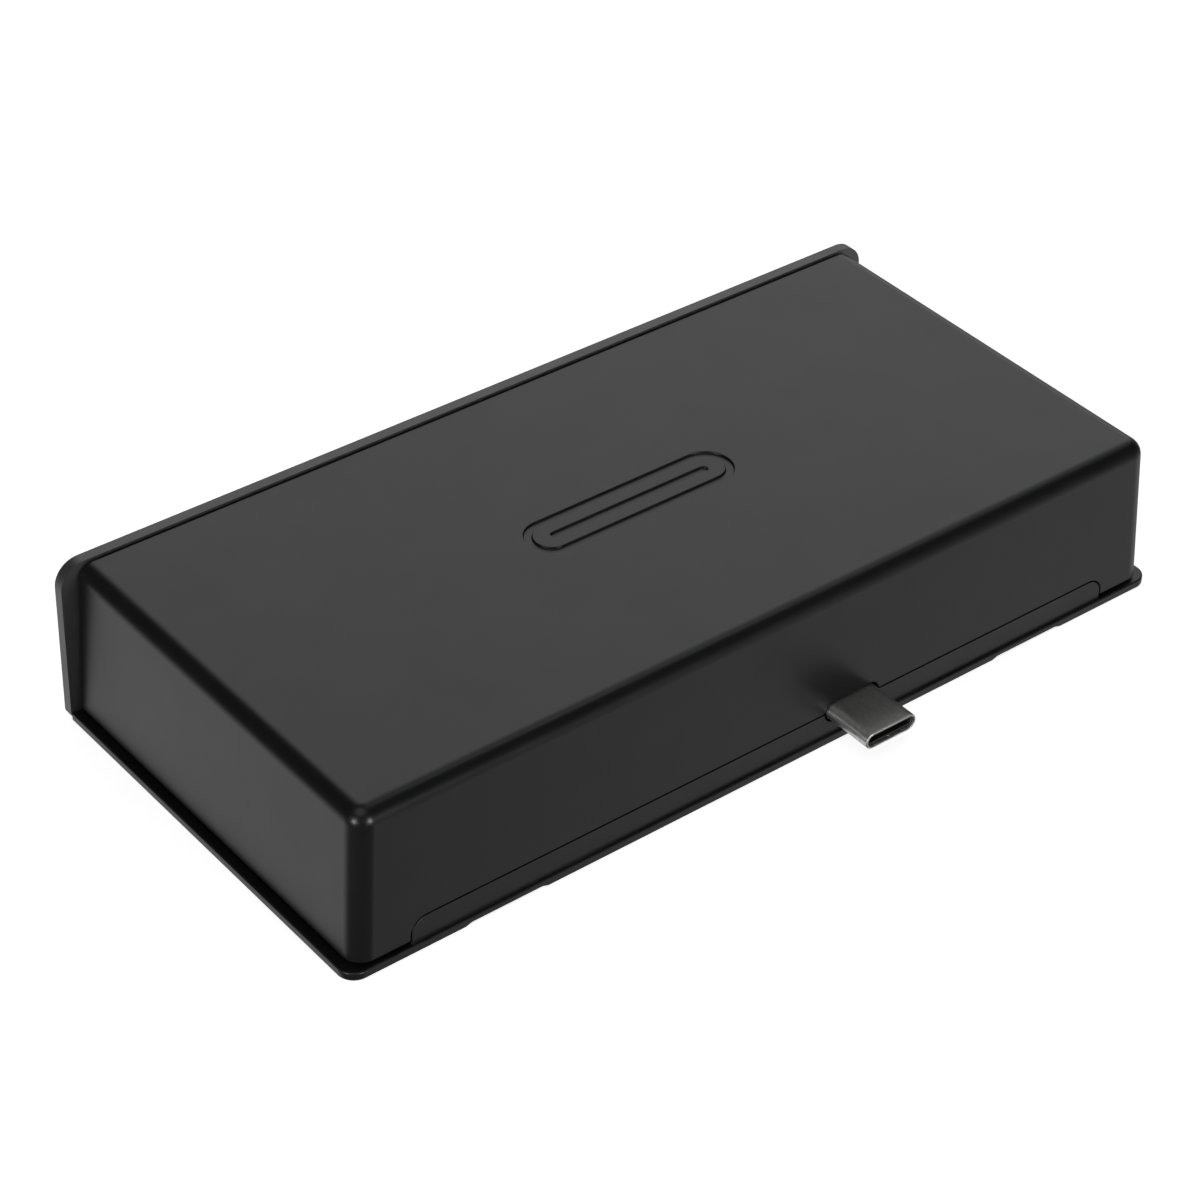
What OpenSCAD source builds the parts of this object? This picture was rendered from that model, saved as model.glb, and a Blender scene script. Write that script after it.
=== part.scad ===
// Slide-in docking module: a flat closed box with a fixed plug at the back,
// near its base, and a wider fascia plate with the sockets at the front.
// Millimetres, +Z up. The origin is the centre of the base's underside.
// The plug points along -Y and the fascia faces +Y.

/* [Overall] */
// Width over the base and the fascia
body_w = 130; // [126:1:160]
// Depth from the base's rear edge to the fascia's outer face, without the plug
body_d = 61.5; // [51:0.5:80]
// Height at the top of the fascia
body_h = 23.1; // [22.2:0.1:32]

/* [Cover] */
// Wall thickness of the cover
cover_wall = 1.6; // [1.2:0.1:2.1]
// Radius of the cover's outer edges and corners
corner_r = 2.6; // [2:0.1:4]
// Draft of the two end faces, in degrees
end_draft = 3.3; // [0.5:0.1:4]
// Draft of the long rear face, in degrees
rear_draft = 2.5; // [0.5:0.1:4]
// Radius of the bosses that take the case screws
boss_r = 3; // [2.6:0.1:3.6]
// Gap between a boss and the fillets under the cover's top
boss_wall_gap = 0.3; // [0.2:0.1:1.5]
// Distance from the cover's open front to the front bosses' axis
front_boss_inset = 6.4; // [6:0.1:9]
// Length of the debossed mark on the top
mark_w = 32; // [10:1:60]
// Height of the debossed mark on the top
mark_h = 7; // [4:0.5:14]
// Line width of the debossed mark
mark_line = 1.1; // [0.6:0.1:1.6]
// Depth of the debossed mark
mark_depth = 0.3; // [0.1:0.05:0.6]

/* [Base] */
// Thickness of the base's visible edge
base_edge_t = 1.1; // [0.9:0.1:1.6]
// Height of the shadow groove between the base's edge and the cover
groove_h = 0.5; // [0.3:0.05:0.8]
// How far the base stands out past the cover's ends
end_flange = 1.2; // [0.6:0.1:2.4]
// How far the base stands out past the cover's rear face
rear_flange = 0.45; // [0.2:0.05:1]
// Plan radius of the base's rear corners
base_corner_r = 2.3; // [1:0.1:4]
// Width of the lip that stands up in the cover's rear face
lip_w = 111.6; // [60:0.2:112]
// Radius of the lip's upper corners
lip_corner_r = 2.2; // [0.8:0.1:2.6]
// Gap of the seam between the lip and the cover
seam_gap = 0.15; // [0.1:0.05:0.3]
// Distance between the centres of the two guide channels under the base
channel_spread = 84.6; // [50:0.2:96]
// Width of a guide channel at its mouth
channel_w = 12.2; // [6:0.1:16]
// Depth of a guide channel
channel_depth = 0.3; // [0.1:0.05:0.5]
// Width of a guide channel's sloped side
channel_slope_w = 0.9; // [0.2:0.1:2]
// Thickness of the upstands that locate the cover's ends
upstand_t = 1.1; // [0.8:0.1:1.6]
// Height of the upstands above the raised floor
upstand_h = 1.2; // [0.6:0.1:1.3]

/* [Fascia] */
// Thickness of the fascia plate
fascia_t = 1.5; // [1.2:0.1:2.5]
// Shadow gap between the fascia and the cover
fascia_gap = 0.4; // [0.2:0.05:0.8]
// Height of the fascia above the cover's top
fascia_rise = 0.25; // [0:0.05:0.8]
// Radius of the fascia's upper corners
fascia_top_r = 3.4; // [1:0.1:6]
// Radius of the fascia's lower corners
fascia_low_r = 0.8; // [0.3:0.1:3]
// Thickness of the rim that plugs into the cover
rim_t = 0.8; // [0.6:0.1:1]
// Depth of the rim that plugs into the cover
rim_depth = 2.4; // [1.5:0.1:3]
// Thickness of the two lugs that the front case screws clamp
lug_t = 1.2; // [0.8:0.1:1.6]

/* [Fits] */
// Clearance between moulded parts that plug together
fit_gap = 0.15; // [0.1:0.05:0.25]
// Clearance around each socket in the fascia
port_gap = 0.3; // [0.2:0.05:0.4]
// Clearance around the plug in the rear face
plug_gap = 0.35; // [0.2:0.05:0.6]
// Running clearance around a sliding piece
slide_gap = 0.12; // [0.1:0.01:0.16]
// Clearance between pieces that are pressed or soldered in place
seat_gap = 0.03; // [0.02:0.01:0.05]

/* [Main board] */
// Thickness of the main board
board_t = 1.6; // [1:0.1:2]
// Clearance between the main board and the bosses
board_side_gap = 0.5; // [0.3:0.1:1]
// Inset of the board screws from the board's side edges
board_screw_inset = 3.7; // [3:0.1:4.4]
// Outer radius of the standoffs under the board
standoff_r = 2.4; // [2:0.1:2.8]

/* [Plug] */
// Distance of the plug from the middle, towards +X
plug_x = 12; // [-30:0.5:30]
// Height of the plug's axis, of the board's mid plane and of the lip's top
plug_z = 4.4; // [4.1:0.05:5.4]
// Width of the plug's shell
plug_w = 8.25; // [8:0.05:10]
// Thickness of the plug's shell
plug_h = 2.4; // [2.2:0.05:3]
// How far the plug stands out of the rear face
plug_reach = 7.2; // [6:0.1:9]
// Sheet thickness of the plug's shell
plug_wall = 0.3; // [0.2:0.05:0.4]
// Length of the shell inside the case
plug_tail = 3.4; // [3.1:0.1:5]
// Width of the carrier that holds the plug
carrier_w = 15; // [13:0.5:20]
// Wall of the carrier above and below the board
carrier_wall = 0.9; // [0.7:0.1:1]

/* [Fasteners] */
// Thread radius of the case screws
case_screw_r = 1.25; // [1:0.05:1.4]
// Head radius of the case screws
case_head_r = 2.1; // [1.8:0.1:2.2]
// Head height of the case screws
case_head_h = 1.1; // [0.8:0.1:1.2]
// Shank length of the case screws
case_screw_len = 6; // [5:0.1:7]
// Outer radius of the threaded inserts
insert_r = 1.9; // [1.7:0.1:2.1]
// Length of the threaded inserts
insert_len = 4; // [3:0.1:5]
// Thread radius of the board screws
board_screw_r = 1; // [0.8:0.05:1.1]
// Head radius of the board screws
board_head_r = 1.9; // [1.6:0.1:2.1]
// Head height of the board screws
board_head_h = 1.2; // [0.8:0.1:1.4]

/* [Sockets] */
// How far the sockets' fronts lie behind the fascia's outer face
port_recess = 0.3; // [0:0.1:0.8]
// Clearance between the row of sockets and the bosses
row_clear = 0.5; // [0.4:0.1:1.5]
// Width of the small reversible socket
type_c_w = 8.94; // [8.9:0.02:9.4]
// Height of the small reversible socket
type_c_h = 3.26; // [3.1:0.02:3.6]
// Depth of the small reversible socket
type_c_d = 8; // [7:0.1:10]
// Width of the stacked flat sockets
type_a_w = 13.2; // [13:0.1:14.4]
// Height of the stacked flat sockets
type_a_h = 13.8; // [13.6:0.1:14.2]
// Depth of the stacked flat sockets
type_a_d = 17.4; // [15:0.1:18]
// Width of one flat opening
type_a_open_w = 12.4; // [12.3:0.1:12.5]
// Height of one flat opening
type_a_open_h = 5.1; // [5:0.05:5.2]
// Distance between the two flat openings' centres
type_a_pitch = 7.6; // [7.4:0.1:7.8]
// Width of the video socket
video_w = 15; // [14.6:0.1:15.6]
// Height of the video socket
video_h = 5.6; // [5.2:0.1:6.2]
// Depth of the video socket
video_d = 11.6; // [10:0.1:13]
// Width of the network socket
network_w = 15.9; // [15.5:0.1:16.4]
// Height of the network socket
network_h = 13.3; // [13:0.1:13.6]
// Depth of the network socket
network_d = 20; // [18:0.1:20.6]
// Width of the audio socket's body
audio_w = 6.6; // [6.4:0.1:7.4]
// Depth of the audio socket's body
audio_d = 13.6; // [12:0.1:15]
// Radius of the audio socket's bore
audio_r = 1.8; // [1.75:0.01:1.9]
// Radius of the audio socket's nose
audio_nose_r = 2.9; // [2.6:0.1:3.1]
// Sheet thickness of the sockets' shells
sheet_t = 0.3; // [0.2:0.05:0.35]

/* [Card reader] */
// Thickness of the card reader's board
card_board_t = 1.2; // [0.8:0.1:1.4]
// Gap between the main board and the card reader's board
card_board_rise = 6.3; // [6:0.1:7.4]
// Width of the full-size card slot
full_slot_w = 24.4; // [24.2:0.1:24.8]
// Height of the full-size card slot
full_slot_h = 2.3; // [2.2:0.05:2.6]
// Depth of the full-size card socket
full_d = 27; // [26.5:0.1:29]
// Travel of the full-size socket's push slider
full_travel = 4.5; // [3:0.1:5]
// Width of the full-size socket's slider lane
full_lane_w = 2.7; // [2.5:0.1:3]
// Width of the small card slot
micro_slot_w = 11.3; // [11.1:0.1:11.7]
// Height of the small card slot
micro_slot_h = 1.2; // [1.1:0.05:1.4]
// Depth of the small card socket
micro_d = 15; // [14.6:0.1:17]
// Travel of the small socket's push slider
micro_travel = 3; // [2:0.1:3.4]
// Width of the small socket's slider lane
micro_lane_w = 2; // [1.8:0.1:2.3]

/* [Electronics] */
// Width of the heat spreader
spreader_w = 56; // [44:1:64]
// Depth of the heat spreader
spreader_d = 16; // [14:0.5:17]
// Thickness of the heat spreader
spreader_t = 1.2; // [0.8:0.1:1.6]
// Thickness of the chips' packages
chip_t = 0.9; // [0.7:0.1:1.2]
// Thickness of the thermal pads
pad_t = 0.8; // [0.5:0.1:1.2]
// Radius of the light pipe
pipe_r = 0.9; // [0.7:0.1:1]

/* [Hidden] */
$fn = 64;
eps = 0.01;
hull_fn = 32;
least_r = 0.05;
thin = 0.05;
over = 1;
window_r = 0.5;

// Small standing distances
seat_rise = 0.2;
head_sink = 0.3;
bore_spare = 1;
tail_gap = 0.6;
board_front_gap = 0.4;
screw_socket_gap = 0.8;
left_screw_lead = 4;
audio_axis_rise = 2.9;
pipe_rise = 7.2;
pillar_inset = 3;

// Heights
cover_low_z = base_edge_t + groove_h;
cover_top_z = body_h - fascia_rise;
board_low_z = plug_z - board_t / 2;
board_top_z = plug_z + board_t / 2;
seat_z = cover_low_z + upstand_h + seat_rise;
front_seat_z = seat_z + lug_t;
ceiling_z = cover_top_z - cover_wall;

// Depths
base_rear_y = -body_d / 2;
cover_rear_y = base_rear_y + rear_flange;
wall_rear_y = cover_rear_y + cover_wall;
fascia_out_y = body_d / 2;
fascia_in_y = fascia_out_y - fascia_t;
cover_front_y = fascia_in_y - fascia_gap;
port_y = fascia_out_y - port_recess;

// Slopes of the drafted faces, and the cover's half width at its foot
end_slope = tan(end_draft);
rear_slope = tan(rear_draft);
cover_half_x = body_w / 2 - end_flange;

// Bosses and the case screws in them
fillet_inset = max(corner_r, cover_wall) + boss_wall_gap + boss_r;
boss_x = half_x(ceiling_z) - fillet_inset;
rear_boss_y = rear_y(ceiling_z) + fillet_inset;
front_boss_y = cover_front_y - front_boss_inset;
case_bore_r = case_screw_r + fit_gap;
head_bore_r = case_head_r + fit_gap;
head_bore_h = case_head_h + head_sink;
insert_inset = 0.2;
relief_len = case_screw_len + bore_spare;

// Main board
board_half_x = boss_x - boss_r - board_side_gap;
plug_back_y = cover_rear_y + plug_tail;
board_rear_y = plug_back_y + tail_gap;
board_front_y = fascia_in_y - rim_depth - board_front_gap;
board_screw_x = board_half_x - board_screw_inset;
network_back_y = port_y - network_d;
board_screw_spots = [
    [-board_screw_x, board_rear_y + board_screw_inset],
    [board_screw_x, board_rear_y + board_screw_inset],
    [-board_screw_x, network_back_y + left_screw_lead],
    [board_screw_x, network_back_y - board_head_r - screw_socket_gap]
];
board_hole_r = board_screw_r + fit_gap;
thread_bore_r = board_screw_r + seat_gap;
board_screw_tip_z = 0.8;

// Row of sockets, evenly spaced between the bosses
rail_t = 0.7;
full_w = full_slot_w + full_lane_w + 2 * rail_t;
port_widths = [full_w, audio_w, type_c_w, type_a_w, video_w, network_w];
row_span = 2 * (boss_x - boss_r - row_clear);
row_gap = (row_span - sum_to(port_widths, len(port_widths))) / (len(port_widths) - 1);
card_x = port_x(0);
audio_x = port_x(1);
type_c_x = port_x(2);
type_a_x = port_x(3);
video_x = port_x(4);
network_x = port_x(5);
audio_z = board_top_z + audio_axis_rise;
pipe_x = type_c_x;
pipe_z = board_top_z + pipe_rise;

// Card reader
card_floor_t = 0.5;
card_lid_t = 0.2;
full_h = card_floor_t + full_slot_h + card_lid_t;
micro_rail_t = 0.5;
micro_w = micro_slot_w + micro_lane_w + 2 * micro_rail_t;
micro_floor_t = 0.4;
micro_lid_t = 0.15;
micro_h = micro_floor_t + micro_slot_h + micro_lid_t;
card_board_z = board_top_z + card_board_rise;
card_board_top_z = card_board_z + card_board_t;
card_board_front_y = board_front_y;
card_board_tail = 5.4;
card_board_back_y = port_y - full_d - card_board_tail;
pillar_y = card_board_back_y + card_board_tail / 2;
pillar_spread = full_w - 2 * pillar_inset;
pillar_r = 1.9;

// Numbers of a card socket: [width, depth, slot width, slot height, lane width, rail,
// floor, lid, travel, contacts, contact pitch]
full_contacts = 9;
full_pitch = 2.5;
micro_contacts = 8;
micro_pitch = 1.1;
FULL = [full_w, full_d, full_slot_w, full_slot_h, full_lane_w, rail_t,
        card_floor_t, card_lid_t, full_travel, full_contacts, full_pitch];
MICRO = [micro_w, micro_d, micro_slot_w, micro_slot_h, micro_lane_w, micro_rail_t,
         micro_floor_t, micro_lid_t, micro_travel, micro_contacts, micro_pitch];

// ---------- helpers ----------

function sum_to(list, n) = n <= 0 ? 0 : list[n - 1] + sum_to(list, n - 1);
function port_x(i) = -row_span / 2 + sum_to(port_widths, i) + port_widths[i] / 2 + i * row_gap;

// The cover's outer half width and rear face at height z
function half_x(z) = cover_half_x - end_slope * (z - cover_low_z);
function rear_y(z) = cover_rear_y + rear_slope * (z - cover_low_z);

// Box between two opposite corners
module block(low, high) {
    translate(low) cube(high - low);
}

// Flat outline in X and Z, extruded along Y from y0 to y1
module along_y(y0, y1) {
    translate([0, y1, 0]) rotate([90, 0, 0]) linear_extrude(y1 - y0) children();
}

// Round rod along Y
module rod_y(r, x, z, y0, y1) {
    translate([x, y1, z]) rotate([90, 0, 0]) cylinder(r = r, h = y1 - y0);
}

// Rectangle about the origin with rounded corners
module rounded_rect(w, h, r) {
    square([w - 2 * r, h], center = true);
    square([w, h - 2 * r], center = true);
    for (sx = [-1, 1], sy = [-1, 1])
        translate([sx * (w / 2 - r), sy * (h / 2 - r)]) circle(r);
}

// Rectangle about the origin with fully round ends
module stadium(w, h) {
    square([w - h, h], center = true);
    for (sx = [-1, 1])
        translate([sx * (w - h) / 2, 0]) circle(h / 2);
}

// Drafted box with round upper edges and rear corners, taken in by an inset.
// It runs on past the cover's foot and open front, so that plain cuts end it there.
module shell_form(inset) {
    r = max(corner_r - inset, least_r);
    top_z = cover_top_z - inset - r;
    low_z = cover_low_z - 2;
    front_y = cover_front_y + 2;
    hull() {
        for (side = [-1, 1]) {
            translate([side * (half_x(top_z) - inset - r), rear_y(top_z) + inset + r, top_z])
                sphere(r, $fn = hull_fn);
            translate([side * (half_x(top_z) - inset - r), front_y, top_z])
                rotate([90, 0, 0]) cylinder(r = r, h = 1, $fn = hull_fn);
            translate([side * (half_x(low_z) - inset - r), rear_y(low_z) + inset + r, low_z])
                cylinder(r = r, h = thin, $fn = hull_fn);
            translate([side * (half_x(low_z) - inset - thin), front_y - 1, low_z])
                translate([-thin, 0, 0]) cube([2 * thin, 1, thin]);
        }
    }
}

// Pan-head screw with a cross recess, head up, its bearing face at z = 0
module screw(r, head_r, head_h, length) {
    slot_w = head_r * 0.28;
    slot_len = head_r * 1.25;
    difference() {
        union() {
            cylinder(r = head_r, h = head_h);
            translate([0, 0, -length]) cylinder(r = r, h = length + eps);
        }
        for (turn = [0, 90])
            rotate([0, 0, turn])
                translate([-slot_len / 2, -slot_w / 2, head_h * 0.45])
                    cube([slot_len, slot_w, head_h]);
    }
}

// Coil spring along -Y from its front end
function coil_point(t, r, length, turns) =
    [r * cos(360 * turns * t), -length * t, r * sin(360 * turns * t)];
function coil_ring(t, r, wire_r, length, turns, sides) =
    let (c = coil_point(t, r, length, turns), a = 360 * turns * t)
    [for (k = [0 : sides - 1])
        let (b = 360 * k / sides)
        c + wire_r * [cos(b) * cos(a), sin(b), cos(b) * sin(a)]];
module coil_spring(r, wire_r, length, turns) {
    sides = 6;
    rings = turns * 14;
    inner = length - 2 * wire_r;
    points = [for (i = [0 : rings]) each coil_ring(i / rings, r, wire_r, inner, turns, sides)];
    walls = [for (i = [0 : rings - 1], k = [0 : sides - 1])
        [i * sides + k, i * sides + (k + 1) % sides,
         (i + 1) * sides + (k + 1) % sides, (i + 1) * sides + k]];
    first = [for (k = [sides - 1 : -1 : 0]) k];
    last = [for (k = [0 : sides - 1]) rings * sides + k];
    translate([0, -wire_r, 0])
        polyhedron(points = points, faces = concat([first], walls, [last]), convexity = 10);
}

// ---------- casing ----------

module lip_outline(grow) {
    w = lip_w + 2 * grow;
    top = plug_z + grow;
    r = lip_corner_r + grow;
    low = -1;
    translate([-w / 2, low]) square([w, top - r - low]);
    translate([-w / 2 + r, low]) square([w - 2 * r, top - low]);
    for (side = [-1, 1])
        translate([side * (w / 2 - r), top - r]) circle(r);
}

module plug_window() {
    along_y(base_rear_y - over, wall_rear_y + 2 * over)
        translate([plug_x, plug_z]) stadium(plug_w + 2 * plug_gap, plug_h + 2 * plug_gap);
}

// Generic mark: a socket outline with its tongue
module top_mark() {
    translate([0, 0, cover_top_z - mark_depth]) linear_extrude(mark_depth + over) {
        difference() {
            stadium(mark_w, mark_h);
            stadium(mark_w - 2 * mark_line, mark_h - 2 * mark_line);
        }
        stadium(mark_w - mark_h, mark_line);
    }
}

module boss_spots() {
    for (side = [-1, 1]) {
        translate([side * boss_x, rear_boss_y, seat_z]) children();
        translate([side * boss_x, front_boss_y, front_seat_z]) children();
    }
}

module cover() {
    color([0.10, 0.10, 0.11])
    difference() {
        union() {
            difference() {
                intersection() {
                    shell_form(0);
                    block([-body_w, base_rear_y, cover_low_z], [body_w, cover_front_y, body_h]);
                }
                shell_form(cover_wall);
            }
            boss_tops();
        }
        along_y(base_rear_y - over, rear_y(plug_z + seam_gap) + cover_wall + seat_gap)
            lip_outline(seam_gap);
        plug_window();
        top_mark();
        boss_spots() {
            union() {
                translate([0, 0, -over]) cylinder(r = insert_r + seat_gap, h = insert_inset + insert_len + over);
                cylinder(r = case_bore_r, h = relief_len);
            }
        }
    }
}

// Bosses from their seats up into the cover's top
module boss_tops() {
    for (side = [-1, 1]) {
        translate([side * boss_x, rear_boss_y, seat_z])
            cylinder(r = boss_r, h = ceiling_z + cover_wall / 2 - seat_z);
        translate([side * boss_x, front_boss_y, front_seat_z])
            cylinder(r = boss_r, h = ceiling_z + cover_wall / 2 - front_seat_z);
    }
}

module base_outline() {
    r = base_corner_r;
    front = fascia_in_y - fit_gap;
    translate([-body_w / 2, base_rear_y + r]) square([body_w, front - base_rear_y - r]);
    translate([-body_w / 2 + r, base_rear_y]) square([body_w - 2 * r, r + eps]);
    for (side = [-1, 1])
        translate([side * (body_w / 2 - r), base_rear_y + r]) circle(r);
}

module guide_channel(x) {
    half = channel_w / 2;
    along_y(base_rear_y - over, fascia_in_y)
        translate([x, 0])
            polygon([[-half, -eps], [half, -eps], [half, 0],
                     [half - channel_slope_w, channel_depth],
                     [-half + channel_slope_w, channel_depth], [-half, 0]]);
}

// The lip's slanted slab, flush with the cover's rear face
module lip_slab() {
    top = plug_z;
    lean = rear_slope * (top - cover_low_z);
    low = base_edge_t - eps;
    translate([-body_w / 2, 0, 0])
        rotate([90, 0, 90])
            linear_extrude(body_w)
                polygon([[cover_rear_y, low], [wall_rear_y, low],
                         [wall_rear_y + lean, top], [cover_rear_y + lean, top],
                         [cover_rear_y, cover_low_z]]);
}

// Plan of the floor inside the cover's walls
module floor_outline() {
    x = cover_half_x - cover_wall - fit_gap;
    rear = wall_rear_y + fit_gap;
    front = cover_front_y - rim_depth;
    r = max(corner_r - cover_wall - fit_gap, least_r);
    translate([-x, rear + r]) square([2 * x, front - rear - r]);
    translate([-x + r, rear]) square([2 * (x - r), r + eps]);
    for (side = [-1, 1])
        translate([side * (x - r), rear + r]) circle(r);
}

module base_tray() {
    inner_x = cover_half_x - cover_wall - fit_gap;
    color([0.09, 0.09, 0.10])
    difference() {
        union() {
            linear_extrude(base_edge_t) base_outline();
            translate([0, 0, base_edge_t - eps])
                linear_extrude(groove_h + eps) floor_outline();
            translate([0, 0, cover_low_z - eps])
                linear_extrude(upstand_h + eps)
                    difference() {
                        floor_outline();
                        square([2 * (inner_x - upstand_t), 2 * body_d], center = true);
                    }
            intersection() {
                lip_slab();
                along_y(base_rear_y - over, wall_rear_y + 2 * over) lip_outline(0);
            }
            for (side = [-1, 1], y = [rear_boss_y, front_boss_y])
                translate([side * boss_x, y, base_edge_t - eps])
                    cylinder(r = boss_r, h = seat_z - base_edge_t + eps);
            for (spot = board_screw_spots)
                translate([spot[0], spot[1], base_edge_t - eps])
                    cylinder(r = standoff_r, h = board_low_z - base_edge_t + eps);
        }
        for (side = [-1, 1])
            guide_channel(side * channel_spread / 2);
        plug_window();
        for (side = [-1, 1], y = [rear_boss_y, front_boss_y])
            translate([side * boss_x, y, -1]) {
                cylinder(r = case_bore_r, h = seat_z + 2 * over);
                cylinder(r = head_bore_r, h = head_bore_h + over);
            }
        for (spot = board_screw_spots)
            translate([spot[0], spot[1], board_screw_tip_z - fit_gap])
                cylinder(r = thread_bore_r, h = board_t + board_low_z);
    }
}

module fascia_outline() {
    w = body_w;
    translate([-w / 2, fascia_low_r]) square([w, body_h - fascia_low_r - fascia_top_r]);
    translate([-w / 2 + fascia_low_r, 0]) square([w - 2 * fascia_low_r, fascia_low_r + eps]);
    translate([-w / 2 + fascia_top_r, body_h - fascia_top_r - eps])
        square([w - 2 * fascia_top_r, fascia_top_r + eps]);
    for (side = [-1, 1]) {
        translate([side * (w / 2 - fascia_low_r), fascia_low_r]) circle(fascia_low_r);
        translate([side * (w / 2 - fascia_top_r), body_h - fascia_top_r]) circle(fascia_top_r);
    }
}

// One opening in the fascia, given its centre in X, its low edge and its size
module window(x, low_z, w, h, r) {
    translate([x, low_z + h / 2])
        rounded_rect(w + 2 * port_gap, h + 2 * port_gap, r);
}

module fascia_windows() {
    window(type_a_x, board_top_z, type_a_w, type_a_h, window_r);
    window(network_x, board_top_z, network_w, network_h, window_r);
    window(video_x, board_top_z + seat_gap, video_w, video_h, window_r);
    window(card_x, card_board_top_z, full_w, full_h, window_r);
    window(card_x, card_board_z - micro_h, micro_w, micro_h, window_r);
    translate([type_c_x, board_top_z + type_c_h / 2])
        stadium(type_c_w + 2 * port_gap, type_c_h + 2 * port_gap);
    translate([audio_x, audio_z]) circle(audio_nose_r + port_gap);
    translate([pipe_x, pipe_z]) circle(pipe_r + seat_gap);
}

// Outline of the cover's open front, taken in by an inset and cut off at low_z
module front_section(inset, low_z) {
    r = max(corner_r - inset, least_r);
    top_z = cover_top_z - inset - r;
    low_x = half_x(low_z) - inset;
    arc = [for (a = [0 : 15 : 90]) [half_x(top_z) - inset - r + r * cos(a), top_z + r * sin(a)]];
    polygon(concat([[low_x, low_z]], arc,
                   [for (i = [len(arc) - 1 : -1 : 0]) [-arc[i][0], arc[i][1]]],
                   [[-low_x, low_z]]));
}

// Tongue that the front case screw on one side clamps
module fascia_lug(side) {
    translate([side * boss_x, 0, seat_z])
        linear_extrude(lug_t)
            difference() {
                union() {
                    translate([-boss_r, front_boss_y])
                        square([2 * boss_r, fascia_in_y + eps - front_boss_y]);
                    translate([0, front_boss_y]) circle(boss_r);
                }
                translate([0, front_boss_y]) circle(case_bore_r);
            }
}

module fascia() {
    rim_low_z = cover_low_z + upstand_h + fit_gap;
    inset = cover_wall + fit_gap;
    color([0.13, 0.13, 0.14]) {
        difference() {
            union() {
                along_y(fascia_in_y, fascia_out_y) fascia_outline();
                along_y(fascia_in_y - rim_depth, fascia_in_y + eps)
                    difference() {
                        front_section(inset, rim_low_z);
                        front_section(inset + rim_t, rim_low_z - over);
                    }
            }
            along_y(fascia_in_y - rim_depth - over, fascia_out_y + over) fascia_windows();
        }
        for (side = [-1, 1])
            fascia_lug(side);
    }
}

module case_screws() {
    color([0.55, 0.56, 0.58])
    for (side = [-1, 1], y = [rear_boss_y, front_boss_y])
        translate([side * boss_x, y, head_bore_h])
            mirror([0, 0, 1]) screw(case_screw_r, case_head_r, case_head_h, case_screw_len);
}

module case_inserts() {
    color([0.75, 0.62, 0.30])
    boss_spots()
        translate([0, 0, insert_inset])
            difference() {
                cylinder(r = insert_r, h = insert_len);
                translate([0, 0, -over]) cylinder(r = case_screw_r + seat_gap, h = insert_len + 2 * over);
            }
}

// ---------- main board ----------

module main_board() {
    color([0.05, 0.22, 0.13])
    difference() {
        block([-board_half_x, board_rear_y, board_low_z],
              [board_half_x, board_front_y, board_top_z]);
        for (spot = board_screw_spots)
            translate([spot[0], spot[1], board_low_z - over]) cylinder(r = board_hole_r, h = board_t + 2 * over);
        for (side = [-1, 1])
            translate([spreader_x + side * spreader_foot_x, spreader_y, board_low_z - over])
                cylinder(r = thread_bore_r, h = board_t + 2 * over);
    }
}

module board_screws() {
    color([0.55, 0.56, 0.58])
    for (spot = board_screw_spots)
        translate([spot[0], spot[1], board_top_z])
            screw(board_screw_r, board_head_r, board_head_h, board_top_z - board_screw_tip_z);
}

// ---------- plug ----------

plug_tip_y = cover_rear_y - plug_reach;
plug_slot_w = 6.8;
plug_slot_h = 0.86;
plug_core_recess = 0.35;
strip_t = 0.1;
strip_w = 0.28;
strip_pitch = 0.5;
strip_count = 12;
foot_len = 1.5;

module plug_shell() {
    color([0.78, 0.78, 0.79])
    along_y(plug_tip_y, plug_back_y)
        translate([plug_x, plug_z])
            difference() {
                stadium(plug_w, plug_h);
                stadium(plug_w - 2 * plug_wall, plug_h - 2 * plug_wall);
            }
}

module plug_insulator() {
    inset = 2 * (plug_wall + seat_gap);
    color([0.06, 0.06, 0.06])
    along_y(plug_tip_y + plug_core_recess, plug_back_y)
        translate([plug_x, plug_z])
            difference() {
                stadium(plug_w - inset, plug_h - inset);
                square([plug_slot_w, plug_slot_h], center = true);
            }
}

// One row of flat strips across X, each between two corners given without X
module strip_row(x, count, pitch, width, low, high) {
    for (i = [0 : count - 1])
        translate([x + (i - (count - 1) / 2) * pitch - width / 2, low[0], low[1]])
            cube([width, high[0] - low[0], high[1] - low[1]]);
}

module plug_contacts() {
    front_recess = 1.1;
    rise_gap = 0.1;
    rise_t = 0.2;
    front = plug_tip_y + front_recess;
    rise_y = plug_back_y + rise_gap;
    foot_y = board_rear_y + foot_len;
    color([0.83, 0.68, 0.30])
    for (side = [-1, 1]) {
        face = plug_z + side * plug_slot_h / 2;
        foot = plug_z + side * board_t / 2;
        inner = face - side * strip_t;
        outer = foot + side * strip_t;
        strip_row(plug_x, strip_count, strip_pitch, strip_w,
                  [front, min(face, inner)], [rise_y + rise_t, max(face, inner)]);
        strip_row(plug_x, strip_count, strip_pitch, strip_w,
                  [rise_y, min(inner, outer)], [rise_y + rise_t, max(inner, outer)]);
        strip_row(plug_x, strip_count, strip_pitch, strip_w,
                  [rise_y, min(foot, outer)], [foot_y, max(foot, outer)]);
    }
}

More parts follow.
